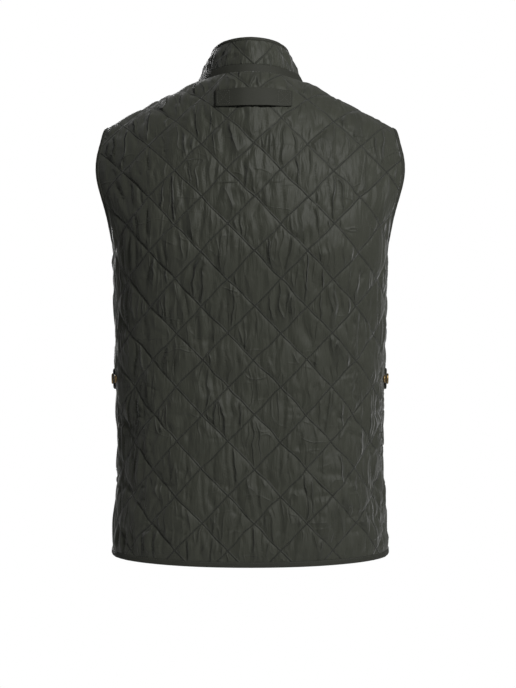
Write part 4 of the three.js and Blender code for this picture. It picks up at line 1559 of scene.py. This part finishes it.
    def panel(self, name: str, outline: Array, origin: tuple, surface: Surface,
              seed: float, replaces: Sequence[str], spots: Sequence[tuple] = ()
              ) -> bpy.types.Object:
        """One quilted panel, draped.

        Args:
            name: the piece's name.
            outline: its outline in the pattern.
            origin: a crossing of its stitch lines.
            surface: what it is draped over.
            seed: makes each panel uneven in its own way.
            replaces: the nodes that it stands for.
            spots: boxes in which something is sewn through it.

        Returns:
            The finished piece.
        """
        mesh = trimmed(self.blank(outline, origin), outline)
        flat = corners(mesh)
        top = flat[:, 2] > 0.5
        draw_pattern(mesh, np.stack(self.lattice(flat[:, 0], flat[:, 1], origin), 1))
        for face in mesh.faces:
            plain = all(not top[v.index] for v in face.verts)
            face.material_index = 1 if plain else 0
        s, t = flat[top, 0], flat[top, 1]
        inset = edge_distance(outline, s, t)
        share = smoothstep(inset, -1, self.taper) * self.pressed(s, t, spots)
        relief = self.relief(*self.lattice(s, t, origin), s, t, seed)
        flat[top, 2] = self.wall + relief * share
        loose = self.waver * smoothstep(inset, 2, 2 * self.taper)
        for axis, shift in enumerate((51, 57)):
            flat[top, axis] += loose * wobble(
                s, t, self.waver_wide, self.waver_wide, seed + shift)
        move_corners(mesh, surface.place(*flat.T) * MM)
        bmesh.ops.recalc_face_normals(mesh, faces=mesh.faces)
        return Piece(name, mesh, (NYLON, LINING), "shell", replaces).shown()


def trimmed(blank: bmesh.types.BMesh, outline: Array) -> bmesh.types.BMesh:
    """Trims a slab to an outline.

    Args:
        blank: the slab, in the pattern's plane.
        outline: what is left of it.

    Returns:
        The trimmed slab, closed.
    """
    prism = bmesh.new()
    ring = [prism.verts.new((x, y, -2)) for x, y in outline]
    foot = prism.faces.new(ring)
    made = bmesh.ops.extrude_face_region(prism, geom=[foot])["geom"]
    top = [x for x in made if isinstance(x, bmesh.types.BMVert)]
    bmesh.ops.translate(prism, vec=(0, 0, 5), verts=top)
    bmesh.ops.recalc_face_normals(prism, faces=prism.faces)
    things = []
    for name, mesh in (("blank", blank), ("cutter", prism)):
        data = bpy.data.meshes.new(name)
        mesh.to_mesh(data)
        mesh.free()
        thing = bpy.data.objects.new(name, data)
        bpy.context.scene.collection.objects.link(thing)
        things.append(thing)
    cut = things[0].modifiers.new("cut", "BOOLEAN")
    cut.operation = "INTERSECT"
    cut.solver = "MANIFOLD"
    cut.object = things[1]
    bpy.context.view_layer.update()
    result = bmesh.new()
    result.from_object(things[0], bpy.context.evaluated_depsgraph_get())
    for thing in things:
        data = thing.data
        bpy.data.objects.remove(thing)
        bpy.data.meshes.remove(data)
    return result


QUILT = Quilt()
Trims = dict[str, list[bpy.types.Object]]


@dataclass
class Shell:
    """The three quilted panels and the quilted stand."""

    back_origin: tuple = (-6, 62)
    front_origin: tuple = (PATTERN.front_cut + 37, 62)
    collar_origin: tuple = (-6, 11)
    cuts: dict = field(default_factory=dict)

    def build(self) -> dict[str, bpy.types.Object]:
        """Makes them.

        Returns:
            The panels by name.
        """
        panels = {}
        outline = PATTERN.back()
        panels["back"] = self._panel("quilted_back", outline, self.back_origin, BACK, 1.7, "back")
        for half in Half:
            outline = PATTERN.front(half)
            origin = (half.value * self.front_origin[0], self.front_origin[1])
            node = f"front_{half.word}"
            panels[node] = self._panel(
                f"quilted_{node}", outline, origin, FRONT, 11.3 + half.value, node)
        outline = COLLAR.outline()
        panels["collar"] = self._panel(
            "quilted_collar", outline, self.collar_origin, COLLAR.surface, 23.9, "collar")
        return panels

    def _panel(self, name: str, outline: Array, origin: tuple, surface: Surface, seed: float,
               node: str) -> bpy.types.Object:
        """One panel; it is kept in cuts with its outline."""
        spots = STRIP.boxes() if node == "back" else ()
        thing = QUILT.panel(name, outline, origin, surface, seed, (node,), spots)
        self.cuts[node] = (thing, outline)
        return thing


# Bindings, strip and tabs.


def edge_frames(surface: Surface, points: Array, away: Array) -> Frames:
    """Places on a cut edge; across points off the panel.

    Args:
        surface: the panel's surface.
        points: the edge in the pattern.
        away: pattern directions that point off the panel, one for each point.

    Returns:
        The places.
    """
    frames = surface.frames(points[:, 0], points[:, 1])
    across = frames.across * away[:, :1] + frames.up * away[:, 1:]
    along = frames.up * away[:, :1] - frames.across * away[:, 1:]
    return Frames(frames.at, unit(across), unit(along), frames.out)


def edge_away(points: Array) -> Array:
    """Directions off the panel along an edge that has its panel on the left."""
    way = unit(np.gradient(points, axis=0))
    return np.stack([way[:, 1], -way[:, 0]], 1)


@dataclass
class Bindings:
    """The tapes that bind the hem, the armholes, the collar and the front edges."""

    inside: float = -0.8
    skin: float = 0.9
    lip: float = 1.1
    ripple: float = 0.35
    seam: float = 0.57
    sunk: float = 0.05

    def _section(self, width: float) -> Section:
        """Section of a tape folded over an edge."""
        return Section(-self.lip, width, self.inside, QUILT.wall + self.skin)

    def _sewn(self, name: str, frames: Frames, section: Section, loop: bool,
              node: str) -> list[bpy.types.Object]:
        """A binding and its rows of stitches, one on each face.

        Args:
            name: the tape's name.
            frames: places along the edge.
            section: the tape's cross section.
            loop: whether the edge closes on itself.
            node: the node that it stands for.

        Returns:
            The tape and its stitches.
        """
        tape = ribbon(frames, section, loop, ripple=self.ripple)
        thing = Piece(name, tape, (BINDING,), "binding", (node,)).shown()
        rows = []
        for height in (section.high - self.sunk, section.low + self.sunk):
            path = frames.at + frames.across * self.seam + frames.out * height
            out = frames.out * (1 if height > 0 else -1)
            rows.append(stitches(path, out, 2.4, 3.4, 0.42))
        sewing = Piece(f"{name}_stitches", gathered(rows), (THREAD,), "binding").shown()
        return [thing, sewing]

    def hem(self) -> Frames:
        """Places round the hem, from the left front edge to the right one.

        Returns:
            The places.
        """
        def row(surface: Surface, start: float) -> Frames:
            """Places along one half of the hem, from a distance off the centre line."""
            points = PATTERN.hem(start)
            points[-1, 0] = FIGURE.half_panel
            return edge_frames(surface, points, np.tile([0.0, -1.0], (len(points), 1)))
        back = row(BACK, 0.0)
        back = back.part(slice(None, None, -1))
        half = row(FRONT, PATTERN.front_edge).joined(back)
        return half.joined(half.mirrored().part(slice(None, None, -1)))

    def arm(self) -> Frames:
        """Places round the left armhole.

        Returns:
            The places; the last is the first again.
        """
        down = PATTERN.arm(Side.BACK)[::-1]
        back = edge_frames(BACK, down, edge_away(down)).part(slice(None, None, -1))
        down = PATTERN.arm(Side.FRONT)[::-1]
        front = edge_frames(FRONT, down, edge_away(down))
        loop = back.joined(front)
        ends = loop.part(slice(-2, None)).joined(loop.part(slice(0, 2)))
        meeting = ends.part(slice(1, 2))
        def shut(values: Array, end: Array) -> Array:
            """A table whose two ends are made the same."""
            return np.concatenate([end, values[1:-1], end])
        return Frames(shut(loop.at, meeting.at), shut(loop.across, meeting.across),
                      shut(loop.up, meeting.up), shut(loop.out, meeting.out))

    def build(self) -> Trims:
        """Makes every binding.

        Returns:
            The bindings by the panel that carries most of each.
        """
        trims: Trims = {}
        trims["back"] = self._sewn("hem_tape", self.hem(), self._section(PATTERN.hem_binding),
                                   False, "hem_binding")
        arm = self.arm()
        for half in Half:
            frames = arm if half is Half.LEFT else arm.mirrored()
            trims["back"] += self._sewn(f"armhole_tape_{half.word}", frames,
                                        self._section(PATTERN.arm_binding), True,
                                        f"armhole_binding_{half.word}")
        u = np.linspace(-COLLAR.half, COLLAR.half, 160)
        top = COLLAR.surface.frames(u, np.full(len(u), COLLAR.top)).turned()
        section = Section(-self.lip, COLLAR.binding, 0, QUILT.wall + self.skin)
        trims["collar"] = self._sewn("collar_tape", top, section, False, "collar_binding")
        for half in Half:
            frames = front_frames(half)
            section = Section(0.1, PATTERN.front_binding + 1.6, -0.4, QUILT.wall + self.skin)
            trims[f"front_{half.word}"] = self._sewn(
                f"front_tape_{half.word}", frames, section, False, f"front_binding_{half.word}")
        return trims


def front_frames(half: Half, lower: Sequence[float] = ()) -> Frames:
    """Places up one front edge, from the hem's binding to the top of the collar.

    Args:
        half: which of the two edges.
        lower: heights of places to be added below the first.

    Returns:
        The places.
    """
    heights = np.concatenate([lower, PATTERN.edge_heights(0.3)])
    low = FRONT.frames(np.full(len(heights), PATTERN.front_edge), heights)
    rise = np.array([5, 8, 11, 15, 20, 26, 32, 38, 44, COLLAR.top - 0.3])
    high = COLLAR.surface.frames(np.full(len(rise), COLLAR.half), rise)
    frames = Frames(
        np.concatenate([low.at, high.at]),
        np.concatenate([low.across, -high.across]),
        np.concatenate([low.up, high.up]),
        np.concatenate([low.out, high.out]),
    )
    return frames if half is Half.LEFT else frames.mirrored()


@dataclass
class NeckBand:
    """The plain band on the neck seam; it laps over the panels' edges."""

    overlap: float = 0.8

    def build(self) -> None:
        u = np.linspace(-COLLAR.inner, COLLAR.inner, 140)
        low, high = COLLAR.band
        frames = COLLAR.surface.frames(u, np.full(len(u), low)).turned()
        section = Section(-self.overlap - low, high - low + 0.9, -0.1, QUILT.wall + 0.3, 5)
        tape = ribbon(frames, section, ripple=0.25, round_steps=20)
        thing = Piece("plain_neck_band", tape, (BINDING,), "shell", ("neck_band",)).shown()


class Carriers:
    """The faces that carry a piece laid on the quilting."""

    # How far out the probes start, in millimetres.
    reach: float = 60.0

    def __init__(self, things: Sequence[bpy.types.Object]) -> None:
        """Keeps a search tree for each of the carrying pieces."""
        graph = bpy.context.evaluated_depsgraph_get()
        self.trees = [BVHTree.FromObject(thing, graph) for thing in things]

    def height(self, at: Array, across: Array, out: Array, half: float, samples: int = 7) -> float:
        """How far the faces stand above a place, over its footprint.

        Args:
            at: the place, in millimetres.
            across: the direction in which the footprint reaches.
            out: the outward direction.
            half: how far it reaches each way.
            samples: how many probes it gets.

        Returns:
            The height in millimetres.
        """
        best = 0.0
        for share in np.linspace(-1, 1, samples):
            start = Vector((at + across * half * share + out * self.reach) * MM)
            for tree in self.trees:
                hit = tree.ray_cast(start, Vector(-out), 2 * self.reach * MM)
                if hit[0] is not None:
                    best = max(best, self.reach - hit[3] / MM)
        return best

    def laid(self, frames: Frames, half: float) -> Array:
        """Heights that lay a row of places on the faces.

        Args:
            frames: the places.
            half: how far the piece reaches each way.

        Returns:
            One height for each place.
        """
        heights = np.array([
            self.height(at, across, out, half)
            for at, across, out in zip(frames.at, frames.across, frames.out)])
        wide = np.pad(heights, 1, mode="edge")
        return np.maximum.reduce([wide[:-2], wide[1:-1], wide[2:]])


@dataclass
class HangingStrip:
    """The flat strip across the upper back, sewn down in a crossed box at each end."""

    s: float = -5
    half: float = 52
    top: float = -12
    tall: float = 27
    thick: float = 1.8
    steps: int = 48
    box: float = 17
    inset: float = 3
    # Height of its underside over the panel's inner face: sewn down, and loose between.
    sewn: float = 3.7
    loose: float = 7.6

    def _row(self) -> tuple[Array, Array, Array]:
        """Pattern points along its middle line, and the height of its underside there.

        Returns:
            Its points' distances across, heights up and lifts off the back.
        """
        share = np.linspace(-1, 1, self.steps + 1)
        s = self.s + self.half * share
        z = self.top - self.tall / 2
        t = np.array([FIGURE.height_t(Side.BACK, x, z) for x in s])
        middle = smoothstep(1 - np.abs(share), 2 * self.inset / self.half, 0.8)
        return s, t, self.sewn + (self.loose - self.sewn) * middle

    def boxes(self) -> list[tuple]:
        """Middle and half size, in the pattern, of the two boxes that hold it down."""
        s, t, _ = self._row()
        reach = self.half - self.inset - self.box / 2
        return [(x, float(np.interp(x, s, t)), self.box / 2, self.tall / 2 - self.inset)
                for x in (self.s - reach, self.s + reach)]

    def build(self, back: bpy.types.Object) -> None:
        """Lays it on the back and sews it down.

        Args:
            back: the panel that carries it; not used.
        """
        s, t, lift = self._row()
        section = Section(-self.tall / 2, self.tall / 2, 0.1, 0.1 + self.thick, 9)
        mesh = flat_grid(self.steps, 44)
        share = corners(mesh)
        k = np.rint(share[:, 0] * self.steps).astype(int)
        points = section.points(share[:, 1])
        draw_pattern(mesh, np.stack([s[k], points[:, 0]], 1) * MM)
        move_corners(mesh, BACK.place(s[k], t[k] + points[:, 0], lift[k] + points[:, 1]) * MM)
        thing = Piece("flat_hanging_strip", closed_up(mesh), (BINDING,), "binding",
                      ("hanging_strip",)).shown()
        rows = []
        for x, _, wide, tall in self.boxes():
            ring = [(x - wide, -tall), (x + wide, -tall), (x + wide, tall), (x - wide, tall)]
            pairs = [*zip(ring, ring[1:] + ring[:1]), (ring[0], ring[2]), (ring[1], ring[3])]
            rows += [self._stitched(a, b) for a, b in pairs]
        sewing = Piece("strip_stitches", gathered(rows), (THREAD,), "binding").shown()

    def _stitched(self, a: tuple, b: tuple) -> bmesh.types.BMesh:
        """A straight row of stitches on the strip between two of its points.

        Args:
            a: one end: distance across, and height off the middle.
            b: the other end.

        Returns:
            The stitches.
        """
        s, t, lift = self._row()
        x, y = np.linspace(a[0], b[0], 12), np.linspace(a[1], b[1], 12)
        frames = BACK.frames(x, np.interp(x, s, t) + y)
        height = np.interp(x, s, lift) + self.thick + 0.15
        return stitches(frames.at + frames.out * height[:, None], frames.out, 2.4, 3.0, 0.75)


STRIP = HangingStrip()


@dataclass
class Stud:
    """A brass press stud: a domed cap in a rolled rim."""

    radius: float
    height: float
    rim: float

    def mesh(self, at: Array, across: Array, out: Array) -> bmesh.types.BMesh:
        """Spins the stud's profile about its axis and sets it in its place.

        Args:
            at: the middle of the stud's foot.
            across: a direction along the cloth.
            out: the outward direction.

        Returns:
            The stud, in metres.
        """
        r, h, e = self.radius, self.height, self.rim
        profile = [
            (0, 0), (r - e * 0.5, 0), (r, e * 0.5), (r, h - e), (r - e * 0.35, h - e * 0.2),
            (r - e, h), (r - 1.8 * e, h - 0.15), (r - 2.2 * e, h - 0.5), (r - 2.9 * e, h - 0.45),
            (r * 0.45, h - 0.1), (r * 0.2, h + 0.1), (0, h + 0.16),
        ]
        mesh = bmesh.new()
        ring = [mesh.verts.new((x, 0, z)) for x, z in profile]
        edges = [mesh.edges.new(pair) for pair in zip(ring, ring[1:])]
        bmesh.ops.spin(mesh, geom=ring + edges, cent=(0, 0, 0), axis=(0, 0, 1),
                       angle=2 * math.pi, steps=40, use_merge=True)
        bmesh.ops.remove_doubles(mesh, verts=mesh.verts, dist=1e-4)
        bmesh.ops.recalc_face_normals(mesh, faces=mesh.faces)
        up = np.cross(out, across)
        turn = Matrix((across, up, out)).transposed().to_4x4()
        place = Matrix.Translation(Vector(at * MM)) @ turn @ Matrix.Scale(MM, 4)
        bmesh.ops.transform(mesh, matrix=place, verts=mesh.verts)
        return mesh


@dataclass
class WaistTabs:
    """The two tabs round the side seams, with their studs."""

    z: float = -419
    half: float = 15
    front: float = 48
    back: float = 20
    thick: float = 2
    cap: float = 3
    spare: float = 38
    steps: int = 20
    turn: float = 1.3

    def build(self, panels: dict[str, bpy.types.Object]) -> None:
        """Makes both tabs and all four studs."""
        for half in Half:
            carriers = Carriers([panels["back"], panels[f"front_{half.word}"]])
            tab = self._tab(half, carriers)
            self._studs(half, tab, panels["back"])

    def _tab(self, half: Half, carriers: Carriers) -> bpy.types.Object:
        """One tab, from the front round the side seam to its rounded end.

        Args:
            half: the vest's left or right.
            carriers: the faces that it lies on.

        Returns:
            The tab.
        """
        t = self.z - FIGURE.hem_z
        edge = FIGURE.half_panel
        front_s = np.linspace(edge - self.front, edge, self.steps + 1)
        angle = np.linspace(0, self.turn, self.steps + 1)
        back_s = edge - self.back + self.half * (1 - np.sin(angle))
        back_s = np.concatenate([[edge], np.minimum(back_s, edge - 1)])
        front = FRONT.frames(front_s, np.full(len(front_s), t))
        back = BACK.frames(back_s, np.full(len(back_s), t))
        frames = front.joined(back).turned()
        narrow = np.concatenate([np.ones(len(front_s)), np.cos(angle)])
        if half is Half.RIGHT:
            frames = frames.mirrored()
        lift = carriers.laid(frames, self.half)
        section = Section(-self.half, self.half, 0.2, 0.2 + self.thick, 8)
        tape = ribbon(frames, section, narrow=narrow, lift=lift, round_steps=40)
        thing = Piece(f"waist_tab_{half.word}", tape, (BINDING,), "binding",
                      (f"side_tab_{half.word}",)).shown()
        rows = []
        for side in (-1, 1):
            reach = side * (self.half - 2.2) * narrow
            path = frames.at + frames.across * reach[:, None]
            path = path + frames.out * (lift + 0.2 + self.thick)[:, None]
            rows.append(stitches(path, frames.out))
        sewing = Piece(f"tab_stitches_{half.word}", gathered(rows), (THREAD,), "binding").shown()
        return thing

    def _studs(self, half: Half, tab: bpy.types.Object, back: bpy.types.Object) -> None:
        """The stud on the tab's end and the spare one beside it.

        Args:
            half: the vest's left or right.
            tab: the tab.
            back: the back panel.
        """
        edge = FIGURE.half_panel
        kinds = (
            ("tab_stud", Stud(7.5, 2.6, 0.8), tab, self.cap),
            ("spare_stud", Stud(5.5, 2.6, 0.6), back, self.spare),
        )
        for name, stud, carrier, inset in kinds:
            s = np.array([half.value * (edge - inset)])
            frames = BACK.frames(s, np.array([self.z - FIGURE.hem_z]))
            at, across, out = frames.at[0], frames.across[0], frames.out[0]
            up = unit(np.cross(out, across))
            carriers = Carriers([carrier])
            heights = [
                carriers.height(at, across * math.cos(a) + up * math.sin(a), out, stud.radius)
                for a in np.linspace(0, math.pi, 6, endpoint=False)]
            mesh = stud.mesh(at + out * (max(heights) + 0.1), unit(np.cross(up, out)), out)
            Piece(f"press_{name}_{half.word}", mesh, (BRASS,), "brass",
                  (f"{name}_{half.word}",)).shown()


# The zip.


@dataclass
class Zip:
    """The front zip: woven tapes, moulded teeth, slider, pull and bottom stop."""

    pitch: float = 2.0
    reach: float = 1.2
    tooth: tuple = (4.1, 0.98, 2.9)
    bevel: float = 0.2
    first: float = 2.9
    last: float = 1
    tape: tuple = (0.8, 11.2, -1.35, -0.3)
    foot: tuple = (1.2, 4.2)
    metal_bevel: float = 0.22

    def build(self, trims: Trims) -> None:
        """Makes every part of the zip; its tapes are added to the fronts' trims.

        Args:
            trims: the trims by panel.
        """
        for half in Half:
            frames = front_frames(half, self.foot[1:])
            edge = PATTERN.front_edge
            near, far, low, high = self.tape
            section = Section(near - edge, far - edge, low, high, 6)
            tape = ribbon(front_frames(half, self.foot), section, round_steps=20)
            trims[f"front_{half.word}"].append(
                Piece(f"zip_cloth_{half.word}", tape, (ZIP_CLOTH,), "zip_tape",
                      (f"zip_tape_{half.word}",)).shown())
            Piece(f"zip_row_{half.word}", self._row(half, frames), (TEETH,), "zip_teeth",
                  (f"zip_teeth_{half.word}",)).shown()
        for node, name, body in (("zip_slider", "slider_body", "vest"),
                                 ("zip_stop", "bottom_stop", "vest"),
                                 ("pull_tab", "pull_plate", "pull_tab")):
            Piece(name, self._softened(node), (BRASS,), "brass", (node,), body).shown()

    def _row(self, half: Half, frames: Frames) -> bmesh.types.BMesh:
        """The teeth along one front edge; those of the other edge fall between them.

        Args:
            half: the vest's left or right.
            frames: places up the front edge.

        Returns:
            The teeth, in metres.
        """
        along = lengths(frames.at)
        first = self.pitch * (0.75 if half is Half.LEFT else 0.25) + self.first
        places = np.arange(first, along[-1] - self.last, self.pitch)
        single = bmesh.new()
        size = Matrix.Diagonal((*(x * MM for x in self.tooth), 1))
        bmesh.ops.create_cube(single, size=1, matrix=size)
        bmesh.ops.bevel(single, geom=single.edges[:], offset=self.bevel * MM, segments=1,
                        profile=0.5, affect="EDGES", material=-1)
        shape = bpy.data.meshes.new("tooth")
        single.to_mesh(shape)
        single.free()
        whole = bmesh.new()
        middle = self.reach - PATTERN.front_edge
        for place in places:
            at, across, out = (
                Vector([np.interp(place, along, table[:, i]) for i in range(3)])
                for table in (frames.at, frames.across, frames.out))
            across = across.normalized()
            up = out.cross(across).normalized()
            turn = Matrix((across, up, out)).transposed().to_4x4()
            spot = Matrix.Translation((at + across * middle) * MM) @ turn
            count = len(whole.verts)
            whole.from_mesh(shape)
            whole.verts.ensure_lookup_table()
            bmesh.ops.transform(whole, matrix=spot, verts=whole.verts[count:])
        bpy.data.meshes.remove(shape)
        bmesh.ops.recalc_face_normals(whole, faces=whole.faces)
        return whole

    def _softened(self, node: str) -> bmesh.types.BMesh:
        """A copy of a solid with its edges rounded.

        Args:
            node: name of the solid.

        Returns:
            The copy.
        """
        mesh = bmesh.new()
        mesh.from_mesh(bpy.data.objects[node].data)
        bmesh.ops.remove_doubles(mesh, verts=mesh.verts, dist=1e-6)
        bmesh.ops.dissolve_limit(mesh, angle_limit=math.radians(4), verts=mesh.verts,
                                 edges=mesh.edges)
        sharp = [e for e in mesh.edges if e.is_manifold and e.calc_face_angle() > 0.6]
        bmesh.ops.bevel(mesh, geom=sharp, offset=self.metal_bevel * MM, segments=2, profile=0.5,
                        affect="EDGES", material=-1, clamp_overlap=True)
        return mesh


# The studio.


@dataclass
class Studio:
    """The floor, the lights and the camera."""

    floor_z: float = -1.05
    floor_radius: float = 1.4
    distance: float = 4.0
    aim_x: float = -0.011
    aim_z: float = -0.3695
    lens: float = 145.6
    sensor: float = 36.0
    # How strong the sky is as light, and how bright where the camera sees it.
    sky: tuple = (0.15, 1.0)
    # Place, size and power of each lamp.
    lamps: dict = field(default_factory=lambda: {
        "key": ((-1.2, 1.85, 1.1), 0.5, 74),
        "fill": ((2.4, 2.2, 0.3), 2.2, 2.5),
        "front": ((0.9, -2.8, 0.3), 1.2, 70),
    })

    def build(self) -> None:
        """Sets up everything that isn't the vest."""
        self._floor()
        self._sky()
        for name, (place, size, power) in self.lamps.items():
            self._lamp(name, place, size, power)
        bpy.context.scene.view_settings.view_transform = "Standard"
        camera = bpy.data.cameras.new("camera")
        camera.sensor_fit = "VERTICAL"
        camera.sensor_height = self.sensor
        camera.sensor_width = self.sensor
        camera.lens = self.lens
        thing = bpy.data.objects.new("camera", camera)
        thing.location = (self.aim_x, self.distance, self.aim_z)
        thing.rotation_euler = (math.radians(90), 0, math.radians(180))
        bpy.context.scene.collection.objects.link(thing)
        bpy.context.scene.camera = thing

    def _floor(self) -> None:
        """A round pale floor."""
        mesh = bmesh.new()
        bmesh.ops.create_circle(mesh, cap_ends=True, segments=96, radius=self.floor_radius)
        bmesh.ops.translate(mesh, vec=(0, 0, self.floor_z), verts=mesh.verts)
        data = bpy.data.meshes.new("floor")
        mesh.to_mesh(data)
        mesh.free()
        data.materials.append(Paper("pale_floor").made())
        thing = bpy.data.objects.new("floor", data)
        bpy.context.scene.collection.objects.link(thing)

    def _sky(self) -> None:
        """Weak soft light from all round, in front of which the vest stands on white."""
        world = bpy.data.worlds.new("studio")
        world.use_nodes = True
        tree = world.node_tree
        sky = tree.nodes["Background"]
        sky.inputs["Color"].default_value = (1, 1, 1, 1)
        seen = tree.nodes.new("ShaderNodeLightPath")
        level = tree.nodes.new("ShaderNodeMapRange")
        level.inputs["To Min"].default_value, level.inputs["To Max"].default_value = self.sky
        tree.links.new(seen.outputs["Is Camera Ray"], level.inputs["Value"])
        tree.links.new(level.outputs["Result"], sky.inputs["Strength"])
        bpy.context.scene.world = world

    def _lamp(self, name: str, place: tuple, size: float, power: float) -> None:
        """One square soft lamp turned to the vest.

        Args:
            name: its name.
            place: where it stands.
            size: length of its side.
            power: its power in watts.
        """
        light = bpy.data.lights.new(name, "AREA")
        light.energy = power
        light.size = size
        thing = bpy.data.objects.new(name, light)
        thing.location = place
        way = Vector((0, 0, self.aim_z)) - Vector(place)
        thing.rotation_euler = way.to_track_quat("-Z", "Y").to_euler()
        bpy.context.scene.collection.objects.link(thing)


def main() -> None:
    """Builds the vest and its studio."""
    logging.basicConfig(level=logging.INFO, format="%(name)s %(message)s")
    Studio().build()
    shell = Shell()
    panels = shell.build()
    trims = Bindings().build()
    NeckBand().build()
    STRIP.build(panels["back"])
    WaistTabs().build(panels)
    Zip().build(trims)


if __name__ == "__main__":
    main()
